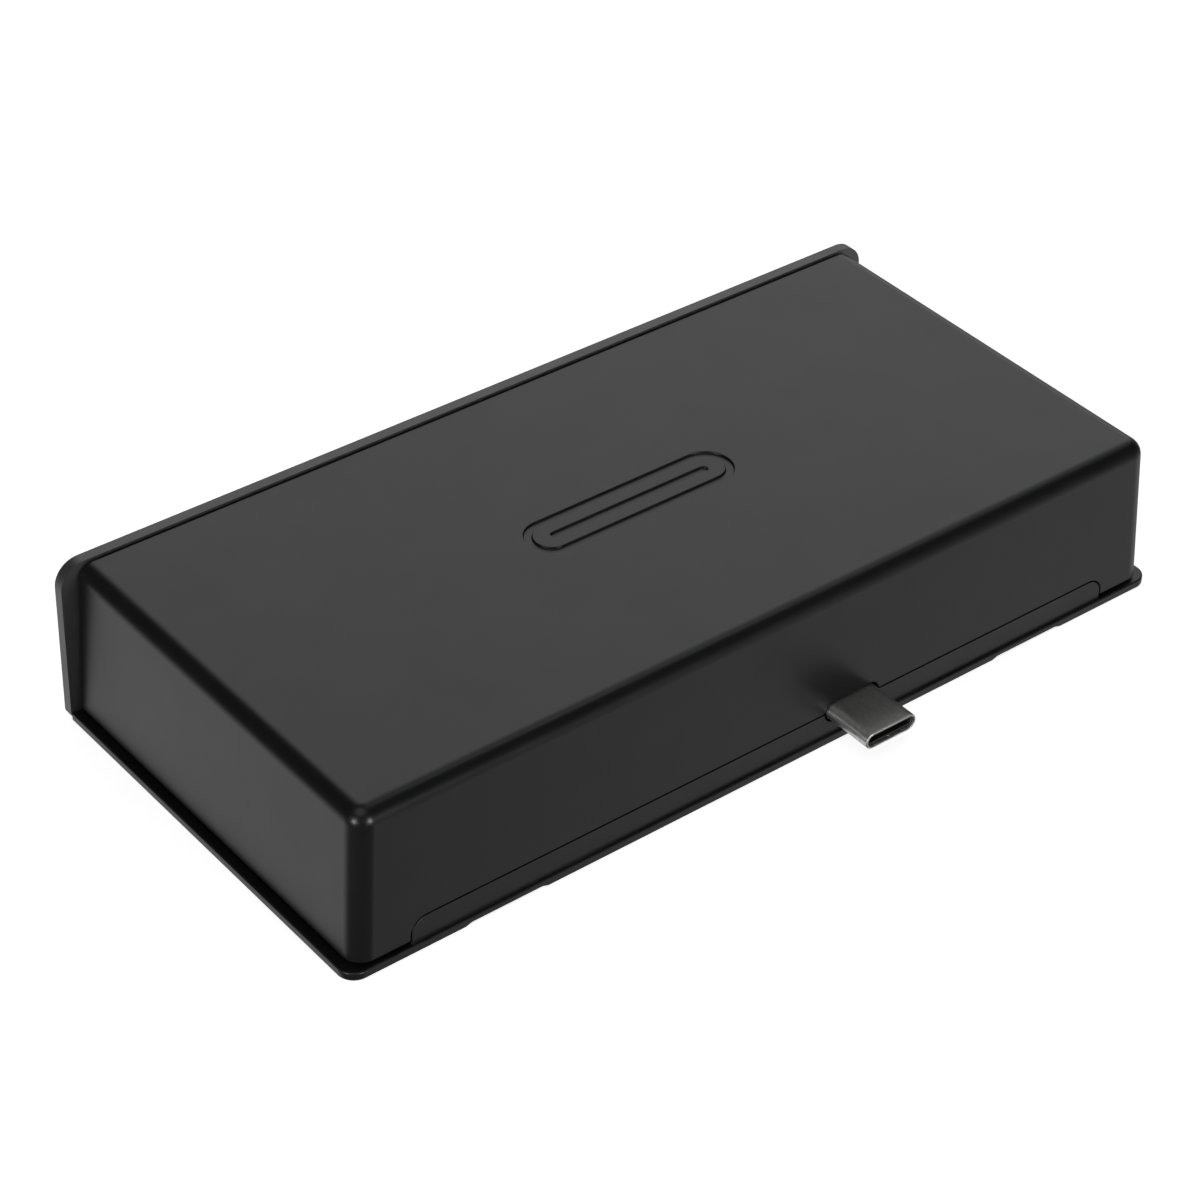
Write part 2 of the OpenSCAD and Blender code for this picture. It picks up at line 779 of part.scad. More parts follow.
module plug_carrier() {
    wall_clear = 0.45;
    back_t = 1.2;
    tail_spare = 0.8;
    tail_h = 0.45;
    front = wall_rear_y + wall_clear;
    back = board_rear_y + foot_len + back_t;
    shell_fit = 2 * seat_gap;
    tail_w = strip_count * strip_pitch + tail_spare;
    color([0.07, 0.07, 0.07])
    difference() {
        block([plug_x - carrier_w / 2, front, board_low_z - carrier_wall],
              [plug_x + carrier_w / 2, back, board_top_z + carrier_wall]);
        along_y(front - over, plug_back_y + seat_gap)
            translate([plug_x, plug_z]) stadium(plug_w + shell_fit, plug_h + shell_fit);
        block([plug_x - carrier_w, board_rear_y - seat_gap, board_low_z - seat_gap],
              [plug_x + carrier_w, back + over, board_top_z + seat_gap]);
        block([plug_x - tail_w / 2, plug_back_y - eps, board_low_z - tail_h],
              [plug_x + tail_w / 2, back - tail_spare, board_top_z + tail_h]);
    }
}

// ---------- small reversible socket ----------

type_c_z = board_top_z + type_c_h / 2;
type_c_back_t = 2;
type_c_tongue_w = 6.69;
type_c_tongue_t = 0.7;
type_c_tongue_recess = 1;
type_c_pad_recess = 0.5;
tail_len = 1.2;
tail_clear = 0.05;

module type_c_shell() {
    color([0.72, 0.72, 0.74])
    along_y(port_y - type_c_d, port_y)
        translate([type_c_x, type_c_z])
            difference() {
                stadium(type_c_w, type_c_h);
                stadium(type_c_w - 2 * sheet_t, type_c_h - 2 * sheet_t);
            }
}

module type_c_tongue() {
    inset = 2 * (sheet_t + seat_gap);
    color([0.08, 0.08, 0.08])
    translate([type_c_x, 0, type_c_z]) {
        along_y(port_y - type_c_d, port_y - type_c_d + type_c_back_t)
            stadium(type_c_w - inset, type_c_h - inset);
        along_y(port_y - type_c_d + type_c_back_t - eps, port_y - type_c_tongue_recess)
            square([type_c_tongue_w, type_c_tongue_t], center = true);
    }
}

module type_c_contacts() {
    back = port_y - type_c_d + type_c_back_t;
    front = port_y - type_c_tongue_recess - type_c_pad_recess;
    half = type_c_tongue_t / 2;
    color([0.83, 0.68, 0.30]) {
        strip_row(type_c_x, strip_count, strip_pitch, strip_w,
                  [back, type_c_z + half], [front, type_c_z + half + strip_t]);
        strip_row(type_c_x, strip_count, strip_pitch, strip_w,
                  [back, type_c_z - half - strip_t], [front, type_c_z - half]);
        strip_row(type_c_x, strip_count, strip_pitch, strip_w,
                  [port_y - type_c_d - tail_len, board_top_z],
                  [port_y - type_c_d - tail_clear, board_top_z + strip_t]);
    }
}

// ---------- stacked flat sockets ----------

type_a_low = 0.8;
type_a_centres = [
    board_top_z + type_a_low + type_a_open_h / 2,
    board_top_z + type_a_low + type_a_open_h / 2 + type_a_pitch
];
type_a_back_t = 5;
type_a_tongue_w = 11.1;
type_a_tongue_t = 1.84;
type_a_tongue_drop = 0.7;
type_a_tongue_recess = 1.2;

module type_a_shell() {
    back = port_y - type_a_d;
    web = type_a_pitch - type_a_open_h;
    web_z = (type_a_centres[0] + type_a_centres[1]) / 2;
    color([0.74, 0.74, 0.76])
    difference() {
        block([type_a_x - type_a_w / 2, back, board_top_z],
              [type_a_x + type_a_w / 2, port_y, board_top_z + type_a_h]);
        for (z = type_a_centres)
            along_y(back - over, port_y + over)
                translate([type_a_x, z]) square([type_a_open_w, type_a_open_h], center = true);
        along_y(back - over, port_y - sheet_t)
            translate([type_a_x, web_z]) square([type_a_open_w, web - 2 * sheet_t], center = true);
    }
}

function type_a_tongue_low(z) = z + type_a_open_h / 2 - type_a_tongue_drop - type_a_tongue_t;

module type_a_tongues() {
    back = port_y - type_a_d;
    color([0.07, 0.07, 0.08])
    for (z = type_a_centres)
        translate([type_a_x, 0, 0]) {
            along_y(back, back + type_a_back_t)
                translate([0, z])
                    square([type_a_open_w - 2 * seat_gap, type_a_open_h - 2 * seat_gap], center = true);
            along_y(back + type_a_back_t - eps, port_y - type_a_tongue_recess)
                translate([0, type_a_tongue_low(z) + type_a_tongue_t / 2])
                    square([type_a_tongue_w, type_a_tongue_t], center = true);
        }
}

module type_a_contacts() {
    back = port_y - type_a_d + type_a_back_t;
    long_t = 0.2;
    long_w = 1;
    long_count = 4;
    short_w = 0.6;
    short_d = 1;
    short_count = 5;
    pitch = 2.3;
    gap = 0.2;
    short_front = port_y - type_a_tongue_recess - gap;
    short_back = short_front - short_d;
    color([0.83, 0.68, 0.30])
    for (z = type_a_centres) {
        low = type_a_tongue_low(z);
        strip_row(type_a_x, long_count, pitch, long_w, [back, low - long_t], [short_back - gap, low]);
        strip_row(type_a_x, short_count, pitch, short_w,
                  [short_back, low - strip_t], [short_front, low]);
    }
}

// ---------- video socket ----------

video_low = board_top_z + seat_gap;
video_step = 1.2;
video_chamfer = 1.6;
video_back_t = 3;
video_tongue_w = 11.8;
video_tongue_t = 0.9;
video_tongue_recess = 1;

// Outline with its two lower corners cut off, taken in by an inset
module video_outline(inset) {
    w = video_w / 2 - inset;
    top = video_h - inset;
    cut = video_chamfer;
    polygon([[-w, top], [w, top], [w, video_step + inset / 2],
             [w - cut, inset], [-w + cut, inset], [-w, video_step + inset / 2]]);
}

module video_shell() {
    color([0.72, 0.72, 0.74])
    along_y(port_y - video_d, port_y)
        translate([video_x, video_low])
            difference() {
                video_outline(0);
                video_outline(sheet_t);
            }
}

module video_tongue() {
    color([0.08, 0.08, 0.08])
    translate([video_x, 0, video_low]) {
        along_y(port_y - video_d, port_y - video_d + video_back_t)
            video_outline(sheet_t + seat_gap);
        along_y(port_y - video_d + video_back_t - eps, port_y - video_tongue_recess)
            translate([0, video_h / 2]) square([video_tongue_w, video_tongue_t], center = true);
    }
}

module video_contacts() {
    back = port_y - video_d + video_back_t;
    pad_recess = 0.6;
    count = 10;
    pitch = 1;
    pad_w = 0.5;
    foot_w = 0.4;
    front = port_y - video_tongue_recess - pad_recess;
    mid = video_low + video_h / 2;
    half = video_tongue_t / 2;
    color([0.83, 0.68, 0.30]) {
        strip_row(video_x, count, pitch, pad_w, [back, mid + half], [front, mid + half + strip_t]);
        strip_row(video_x, count - 1, pitch, pad_w, [back, mid - half - strip_t], [front, mid - half]);
        strip_row(video_x, count, pitch, foot_w,
                  [port_y - video_d - tail_len, board_top_z],
                  [port_y - video_d - tail_clear, board_top_z + strip_t]);
    }
}

// ---------- network socket ----------

network_open_w = 11.7;
network_open_h = 6.8;
network_open_low = 4.9;
network_key_w = 6.2;
network_key_h = 2.6;
network_open_d = 14;
network_lamp_w = 2.5;
network_lamp_h = 2.1;
network_lamp_low = 1.3;
network_side_t = 0.5;
network_back_t = 1;
network_lamp_x = network_w / 2 - sheet_t - network_side_t - network_lamp_w / 2;

module network_shield() {
    color([0.76, 0.76, 0.78])
    difference() {
        block([network_x - network_w / 2, port_y - network_d, board_top_z],
              [network_x + network_w / 2, port_y - eps, board_top_z + network_h]);
        block([network_x - network_w / 2 + sheet_t, port_y - network_d + sheet_t, board_top_z - over],
              [network_x + network_w / 2 - sheet_t, port_y + over, board_top_z + network_h - sheet_t]);
    }
}

module network_housing() {
    fit = sheet_t + seat_gap;
    color([0.08, 0.08, 0.09])
    difference() {
        block([network_x - network_w / 2 + fit, port_y - network_d + fit, board_top_z + seat_gap],
              [network_x + network_w / 2 - fit, port_y - tail_clear, board_top_z + network_h - fit]);
        along_y(port_y - network_open_d, port_y + over) {
            translate([network_x - network_open_w / 2, board_top_z + network_open_low])
                square([network_open_w, network_open_h]);
            translate([network_x - network_key_w / 2,
                       board_top_z + network_open_low - network_key_h])
                square([network_key_w, network_key_h + eps]);
        }
        for (side = [-1, 1])
            along_y(port_y - network_d + network_back_t, port_y + over)
                translate([network_x + side * network_lamp_x,
                           board_top_z + network_lamp_low + network_lamp_h / 2])
                    square([network_lamp_w + 2 * seat_gap, network_lamp_h + 2 * seat_gap],
                           center = true);
    }
}

module network_contacts() {
    count = 8;
    pitch = 1.02;
    wire = 0.4;
    length = 8;
    lean = 6;
    root = 2;
    top = board_top_z + network_open_low + network_open_h - tail_clear;
    color([0.83, 0.68, 0.30])
    for (i = [0 : count - 1])
        translate([network_x + (i - (count - 1) / 2) * pitch - wire / 2,
                   port_y - network_open_d + root, top - wire])
            rotate([-lean, 0, 0])
                cube([wire, length, wire]);
}

module network_light_pipes() {
    back_gap = 3;
    front_gap = 0.1;
    color([0.75, 0.85, 0.70, 0.7])
    for (side = [-1, 1])
        along_y(port_y - network_d + back_gap, port_y - front_gap)
            translate([network_x + side * network_lamp_x,
                       board_top_z + network_lamp_low + network_lamp_h / 2])
                square([network_lamp_w, network_lamp_h], center = true);
}

// ---------- audio socket ----------

audio_nose_spare = 0.5;
audio_nose_len = fascia_t + audio_nose_spare;
audio_body_h = 5.8;
audio_end_t = 0.8;
audio_spring_w = 0.9;
audio_spring_t = 0.25;
audio_spring_inset = 1;
audio_spring_gap = 0.3;
audio_spring_x = audio_r + audio_spring_t / 2 + audio_spring_gap;
audio_bore_len = audio_d - audio_end_t;

module audio_body() {
    color([0.07, 0.07, 0.08])
    difference() {
        union() {
            block([audio_x - audio_w / 2, port_y - audio_d, board_top_z],
                  [audio_x + audio_w / 2, port_y - audio_nose_len, board_top_z + audio_body_h]);
            rod_y(audio_nose_r, audio_x, audio_z, port_y - audio_nose_len - eps, port_y);
        }
        rod_y(audio_r, audio_x, audio_z, port_y - audio_bore_len, port_y + over);
        for (side = [-1, 1])
            along_y(port_y - audio_d + audio_end_t + audio_spring_inset,
                    port_y - audio_nose_len - audio_spring_inset)
                translate([audio_x + side * audio_spring_x, audio_z])
                    square([audio_spring_t + 2 * seat_gap, audio_spring_w + 2 * seat_gap],
                           center = true);
    }
}

module audio_contacts() {
    color([0.80, 0.80, 0.80])
    for (side = [-1, 1])
        along_y(port_y - audio_d + audio_end_t + audio_spring_inset + seat_gap,
                port_y - audio_nose_len - audio_spring_inset - seat_gap)
            translate([audio_x + side * audio_spring_x, audio_z])
                square([audio_spring_t, audio_spring_w], center = true);
}

// ---------- card reader ----------

module card_board() {
    color([0.05, 0.22, 0.13])
    difference() {
        block([card_x - full_w / 2, card_board_back_y, card_board_z],
              [card_x + full_w / 2, card_board_front_y, card_board_top_z]);
        pillar_spots() translate([0, 0, -over]) cylinder(r = board_hole_r, h = card_board_rise + 10);
    }
}

module pillar_spots() {
    for (side = [-1, 1])
        translate([card_x + side * pillar_spread / 2, pillar_y, board_top_z]) children();
}

module card_pillars() {
    color([0.70, 0.70, 0.72])
    pillar_spots()
        difference() {
            cylinder(r = pillar_r, h = card_board_rise);
            translate([0, 0, 1]) cylinder(r = thread_bore_r, h = card_board_rise);
        }
}

module card_screws() {
    grip = 3.5;
    length = card_board_t + grip;
    color([0.55, 0.56, 0.58])
    pillar_spots()
        translate([0, 0, card_board_rise + card_board_t])
            screw(board_screw_r, board_head_r, board_head_h, length);
}

module card_header() {
    size = [4.2, 14];
    inset = [0.8, 2];
    x = card_x + full_w / 2 - size[0] / 2 - inset[0];
    y = card_board_front_y - size[1] / 2 - inset[1];
    waist = 0.35;
    half = card_board_rise / 2;
    color([0.06, 0.06, 0.06]) {
        block([x - size[0] / 2, y - size[1] / 2, board_top_z],
              [x + size[0] / 2, y + size[1] / 2, board_top_z + half]);
        block([x - size[0] / 2 + waist, y - size[1] / 2 + waist, board_top_z + half - eps],
              [x + size[0] / 2 - waist, y + size[1] / 2 - waist, card_board_z]);
    }
}

// A card socket's own frame: its front is y = 0, it reaches to -depth, and z = 0 is its seat.
// The slot lies beside a lane that holds the push slider and its spring.
back_wall = 1;
arm_t = 1.1;
head_t = 1.3;
head_lead = 2;
arm_clear = 0.5;
stop_lead = 0.6;
leg_share = 0.28;
reach_share = 0.16;
slit_share = [0.28, 0.16];
slit_spot = [0.24, 0.35];
strip_share = 0.4;
strip_reach = 0.3;
wire_share = 0.16;
coil_pitch = 7;
function slot_low_x(s) = -s[0] / 2 + s[5];
function lane_x(s) = slot_low_x(s) + s[2];
function arm_y(s) = s[1] - back_wall - slide_gap - s[8] - arm_t;
function head_y(s) = s[5] + head_lead;
function stop_y(s) = arm_y(s) - stop_lead;
function leg_w(s) = s[4] * leg_share;
function spring_r(s) = min(s[3], s[4] - leg_w(s) - 3 * slide_gap) / 2 - slide_gap;

module socket_frame(s) {
    stop_t = 0.9;
    difference() {
        block([-s[0] / 2, -s[1], 0], [s[0] / 2, 0, s[6] + s[3]]);
        block([slot_low_x(s), -s[1] + back_wall, s[6]], [lane_x(s), 1, s[6] + s[3] + over]);
        block([lane_x(s) - eps, -s[1] + back_wall, s[6]],
              [lane_x(s) + s[4], -head_y(s) + slide_gap, s[6] + s[3] + over]);
    }
    block([lane_x(s) + leg_w(s) + 2 * slide_gap, -stop_y(s) - stop_t, s[6] - eps],
          [lane_x(s) + s[4] + eps, -stop_y(s), s[6] + s[3]]);
}

module socket_lid(s) {
    slit = [s[2] * slit_share[0], s[1] * slit_share[1]];
    difference() {
        block([-s[0] / 2, -s[1], s[6] + s[3]], [s[0] / 2, 0, s[6] + s[3] + s[7]]);
        for (side = [-1, 1])
            translate([slot_low_x(s) + s[2] / 2 + side * s[2] * slit_spot[0], -s[1] * slit_spot[1], s[6]])
                translate([-slit[0] / 2, -slit[1] / 2, 0])
                    cube([slit[0], slit[1], s[3] + s[7] + over]);
    }
}

module socket_contacts(s) {
    width = s[10] * strip_share;
    back = -arm_y(s) + arm_clear;
    strip_row(slot_low_x(s) + s[2] / 2, s[9], s[10], width,
              [back, s[6]], [back + s[1] * strip_reach, s[6] + strip_t]);
}

module socket_slider(s) {
    low_z = s[6] + slide_gap;
    high_z = s[6] + s[3] - slide_gap;
    low_x = lane_x(s) + slide_gap;
    reach = s[2] * reach_share;
    block([low_x, -arm_y(s) - arm_t, low_z], [low_x + leg_w(s), -head_y(s) - eps, high_z]);
    block([low_x, -head_y(s) - head_t, low_z],
          [lane_x(s) + s[4] - slide_gap, -head_y(s), high_z]);
    block([low_x - reach, -arm_y(s) - arm_t, low_z], [low_x + eps, -arm_y(s), high_z]);
}

module socket_spring(s) {
    wire_r = spring_r(s) * wire_share;
    end_gap = 0.05;
    length = stop_y(s) - head_y(s) - head_t - 2 * end_gap;
    turns = floor(length / (wire_r * coil_pitch));
    mid_x = (lane_x(s) + leg_w(s) + slide_gap + lane_x(s) + s[4]) / 2;
    translate([mid_x, -head_y(s) - head_t - end_gap, s[6] + s[3] / 2])
        coil_spring(spring_r(s) - wire_r, wire_r, length, turns);
}

// Places a socket on top of the card reader's board, or under it
module on_card_board() {
    translate([card_x, port_y, card_board_top_z]) children();
}
module under_card_board() {
    translate([card_x, port_y, card_board_z]) mirror([0, 0, 1]) children();
}

module full_card_frame() {
    color([0.08, 0.08, 0.08]) on_card_board() socket_frame(FULL);
}
module full_card_lid() {
    color([0.76, 0.76, 0.78]) on_card_board() socket_lid(FULL);
}
module full_card_contacts() {
    color([0.83, 0.68, 0.30]) on_card_board() socket_contacts(FULL);
}
module full_card_slider() {
    color([0.85, 0.85, 0.80]) on_card_board() socket_slider(FULL);
}
module full_card_spring() {
    color([0.70, 0.71, 0.73]) on_card_board() socket_spring(FULL);
}
module micro_card_frame() {
    color([0.08, 0.08, 0.08]) under_card_board() socket_frame(MICRO);
}
module micro_card_lid() {
    color([0.76, 0.76, 0.78]) under_card_board() socket_lid(MICRO);
}
module micro_card_contacts() {
    color([0.83, 0.68, 0.30]) under_card_board() socket_contacts(MICRO);
}
module micro_card_slider() {
    color([0.85, 0.85, 0.80]) under_card_board() socket_slider(MICRO);
}
module micro_card_spring() {
    color([0.70, 0.71, 0.73]) under_card_board() socket_spring(MICRO);
}

// ---------- electronics ----------

transformer = [12, 9, 4];
spreader_lead = 5.2;
spreader_side_gap = 1.3;
spreader_x = network_x - transformer[0] / 2 - spreader_side_gap - spreader_w / 2;
spreader_y = board_rear_y + spreader_lead + spreader_d / 2;
spreader_z = board_top_z + chip_t + pad_t;
chip_capacitor = [1.6, 0.8, 0.8];
capacitor_gap = 1.2;
capacitor_y = spreader_y + spreader_d / 2 + capacitor_gap;
foot_w = 4.8;
spreader_foot_x = spreader_w / 2 - foot_w / 2;
inductor_lead = 1;
inductor_x = -board_screw_x + inductor_lead;
pipe_back_gap = 4;
pipe_back_y = port_y - type_c_d - pipe_back_gap;

// Sides of the chips' packages. They stand in this order, evenly spaced between the spreader's feet
chip_sides = [5, 10, 9, 7];
POWER = 0;
HUB = 1;
VIDEO = 2;
NETWORK = 3;
chip_gap = (spreader_w - 2 * foot_w - sum_to(chip_sides, len(chip_sides))) / (len(chip_sides) + 1);
function chip_x(i) =
    spreader_x - spreader_w / 2 + foot_w + (i + 1) * chip_gap + sum_to(chip_sides, i) + chip_sides[i] / 2;

// Square slab over one chip's place, taken in by an inset
module chip_slab(i, inset, low_z, high_z) {
    half = chip_sides[i] / 2 - inset;
    block([chip_x(i) - half, spreader_y - half, low_z], [chip_x(i) + half, spreader_y + half, high_z]);
}

module hub_chip() {
    color([0.12, 0.12, 0.12]) chip_slab(HUB, 0, board_top_z, board_top_z + chip_t);
}
module video_chip() {
    color([0.12, 0.12, 0.12]) chip_slab(VIDEO, 0, board_top_z, board_top_z + chip_t);
}
module network_chip() {
    color([0.12, 0.12, 0.12]) chip_slab(NETWORK, 0, board_top_z, board_top_z + chip_t);
}
module power_chip() {
    color([0.12, 0.12, 0.12]) chip_slab(POWER, 0, board_top_z, board_top_z + chip_t);
}

module thermal_pads() {
    inset = 0.5;
    color([0.55, 0.60, 0.70])
    for (i = [POWER, HUB, VIDEO, NETWORK])
        chip_slab(i, inset, board_top_z + chip_t, spreader_z);
}

module heat_spreader() {
    fin_h = 4;
    fin_t = 0.9;
    fin_count = 5;
    fin_pitch = (spreader_d - fin_t) / (fin_count - 1);
    fin_end_gap = 1;
    fin_half = spreader_w / 2 - foot_w - fin_end_gap;
    color([0.70, 0.71, 0.73])
    difference() {
        union() {
            block([spreader_x - spreader_w / 2, spreader_y - spreader_d / 2, spreader_z],
                  [spreader_x + spreader_w / 2, spreader_y + spreader_d / 2, spreader_z + spreader_t]);
            for (side = [-1, 1])
                translate([spreader_x + side * spreader_foot_x, spreader_y, board_top_z])
                    cylinder(r = foot_w / 2, h = chip_t + pad_t + eps);
            for (i = [0 : fin_count - 1])
                translate([spreader_x - fin_half, spreader_y - spreader_d / 2 + i * fin_pitch,
                           spreader_z + spreader_t - eps])
                    cube([2 * fin_half, fin_t, fin_h]);
        }
        for (side = [-1, 1])
            translate([spreader_x + side * spreader_foot_x, spreader_y, board_top_z - over])
                cylinder(r = board_hole_r, h = chip_t + pad_t + spreader_t + 2 * over);
    }
}

module spreader_screws() {
    tip_gap = 0.1;
    length = spreader_t + pad_t + chip_t + board_t - tip_gap;
    color([0.55, 0.56, 0.58])
    for (side = [-1, 1])
        translate([spreader_x + side * spreader_foot_x, spreader_y, spreader_z + spreader_t])
            screw(board_screw_r, board_head_r, board_head_h, length);
}

module network_transformer() {
    leg = [0.5, 1.3, 0.3];
    leg_count = 8;
    leg_pitch = 1.35;
    under = 0.3;
    low_z = board_top_z + leg[2];
    color([0.11, 0.11, 0.12]) {
        block([network_x - transformer[0] / 2, spreader_y - transformer[1] / 2, low_z],
              [network_x + transformer[0] / 2, spreader_y + transformer[1] / 2, low_z + transformer[2]]);
        for (side = [-1, 1], i = [0 : leg_count - 1])
            translate([network_x + (i - (leg_count - 1) / 2) * leg_pitch,
                       spreader_y + side * (transformer[1] / 2 + leg[1] / 2 - under),
                       board_top_z + (leg[2] + eps) / 2])
                cube([leg[0], leg[1], leg[2] + eps], center = true);
    }
}

module power_inductors() {
    size = 7;
    height = 3.2;
    pitch = 8.6;
    cut = 0.9;
    lag = 2.5;
    color([0.22, 0.22, 0.23])
    for (i = [0 : 2])
        translate([inductor_x + i * pitch, spreader_y - lag, board_top_z])
            linear_extrude(height)
                polygon([for (q = [0 : 3], e = [0, 1])
                    let (a = e == 0 ? [size / 2, size / 2 - cut] : [size / 2 - cut, size / 2])
                    [a[0] * cos(90 * q) - a[1] * sin(90 * q), a[0] * sin(90 * q) + a[1] * cos(90 * q)]]);
}

module bulk_capacitors() {
    r = 3.1;
    can_h = 4.6;
    foot = [6.6, 0.9];
    pitch = 7.2;
    gap = 0.5;
    row_lead = 7.3;
    beside_x = pillar_spread / 2 + pillar_r + foot[0] / 2 + gap;
    beside_y = capacitor_y + chip_capacitor[1] + foot[0] / 2 + gap - spreader_y;
    color([0.72, 0.72, 0.74])
    for (spot = [[-pitch / 2, row_lead], [pitch / 2, row_lead], [beside_x, beside_y]])
        translate([card_x + spot[0], spreader_y + spot[1], board_top_z]) {
            translate([0, 0, foot[1] / 2]) cube([foot[0], foot[0], foot[1]], center = true);
            cylinder(r = r, h = foot[1] + can_h);
        }
}

module chip_capacitors() {
    count = 18;
    pitch = 2.9;
    color([0.62, 0.52, 0.40])
    for (i = [0 : count - 1])
        translate([spreader_x + (i - (count - 1) / 2) * pitch - chip_capacitor[0] / 2,
                   capacitor_y, board_top_z])
            cube(chip_capacitor);
}

module crystals() {
    size = [3.2, 2.5, 0.8];
    gap = 1.4;
    pitch = 4.6;
    color([0.80, 0.80, 0.78])
    for (i = [0, 1])
        translate([chip_x(HUB) + (i - 1) * pitch, capacitor_y + chip_capacitor[1] + gap, board_top_z])
            cube(size);
}

module status_lamp() {
    size = [1.6, 0.8, 0.7];
    color([0.90, 0.90, 0.85])
    translate([pipe_x - size[0] / 2, pipe_back_y + pipe_r - size[1] / 2, board_top_z]) cube(size);
}

module light_pipe() {
    lamp_gap = 1;
    front_recess = 0.1;
    low_z = board_top_z + lamp_gap;
    color([0.85, 0.90, 0.95, 0.6]) {
        rod_y(pipe_r, pipe_x, pipe_z, pipe_back_y + pipe_r, fascia_out_y - front_recess);
        translate([pipe_x, pipe_back_y + pipe_r, low_z])
            cylinder(r = pipe_r, h = pipe_z - low_z);
        translate([pipe_x, pipe_back_y + pipe_r, pipe_z]) sphere(pipe_r);
    }
}

// ---------- output ----------

cover();
base_tray();
fascia();
case_screws();
case_inserts();
main_board();
board_screws();
plug_shell();
plug_insulator();
plug_contacts();
plug_carrier();
type_c_shell();
type_c_tongue();
type_c_contacts();
type_a_shell();
type_a_tongues();
type_a_contacts();
video_shell();
video_tongue();
video_contacts();
network_shield();
network_housing();
network_contacts();
network_light_pipes();
audio_body();
audio_contacts();
card_board();
card_pillars();
card_screws();
card_header();
full_card_frame();
full_card_lid();
full_card_contacts();
full_card_slider();
full_card_spring();
micro_card_frame();
micro_card_lid();
micro_card_contacts();
micro_card_slider();
micro_card_spring();
hub_chip();
video_chip();
network_chip();
power_chip();
thermal_pads();
heat_spreader();
spreader_screws();
network_transformer();
power_inductors();
bulk_capacitors();
chip_capacitors();
crystals();
status_lamp();
light_pipe();
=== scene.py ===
"""Looks of the slide-in docking module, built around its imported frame.

Every length is in metres, in the frame's own axes: the sockets face +Y, the plug
points along -Y and +Z is up. Places come from the frame's nodes.
"""

import logging
import math
from dataclasses import dataclass, field
from enum import Enum
from typing import Callable, Iterable, Sequence

import bmesh
import bpy
from mathutils import Matrix, Vector


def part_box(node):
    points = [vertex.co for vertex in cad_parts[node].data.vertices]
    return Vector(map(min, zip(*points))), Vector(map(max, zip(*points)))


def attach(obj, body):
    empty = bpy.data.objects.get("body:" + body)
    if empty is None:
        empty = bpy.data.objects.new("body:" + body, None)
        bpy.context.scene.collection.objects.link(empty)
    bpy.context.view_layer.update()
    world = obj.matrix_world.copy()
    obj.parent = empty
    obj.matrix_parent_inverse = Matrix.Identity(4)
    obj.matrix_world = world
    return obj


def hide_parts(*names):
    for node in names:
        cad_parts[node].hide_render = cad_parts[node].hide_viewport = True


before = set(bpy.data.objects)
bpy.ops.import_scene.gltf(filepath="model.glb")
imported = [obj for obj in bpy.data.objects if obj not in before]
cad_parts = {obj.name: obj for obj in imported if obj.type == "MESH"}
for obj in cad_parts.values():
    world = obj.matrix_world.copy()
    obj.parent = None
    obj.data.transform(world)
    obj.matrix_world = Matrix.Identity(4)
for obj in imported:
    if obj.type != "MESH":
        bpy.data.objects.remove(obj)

MM = 0.001
WELD_GAP = 0.002 * MM
FLAT_ANGLE = math.radians(1.0)
CREASE_ANGLE = math.radians(32.0)
OVERSHOOT = 1 * MM
CASE = "case"
LOG = logging.getLogger("docking_module")

Colour = tuple[float, float, float]
Outline = list[tuple[float, float]]


# ---------- finishes ----------


class Relief(Enum):
    """How a finish's fine relief lies on the surface, as its stretch along X, Y and Z."""

    EVEN = (1.0, 1.0, 1.0)
    DRAWN_ALONG_X = (0.04, 1.0, 1.0)
    DRAWN_ALONG_Y = (1.0, 0.04, 1.0)
    DRAWN_ALONG_Z = (1.0, 1.0, 0.04)


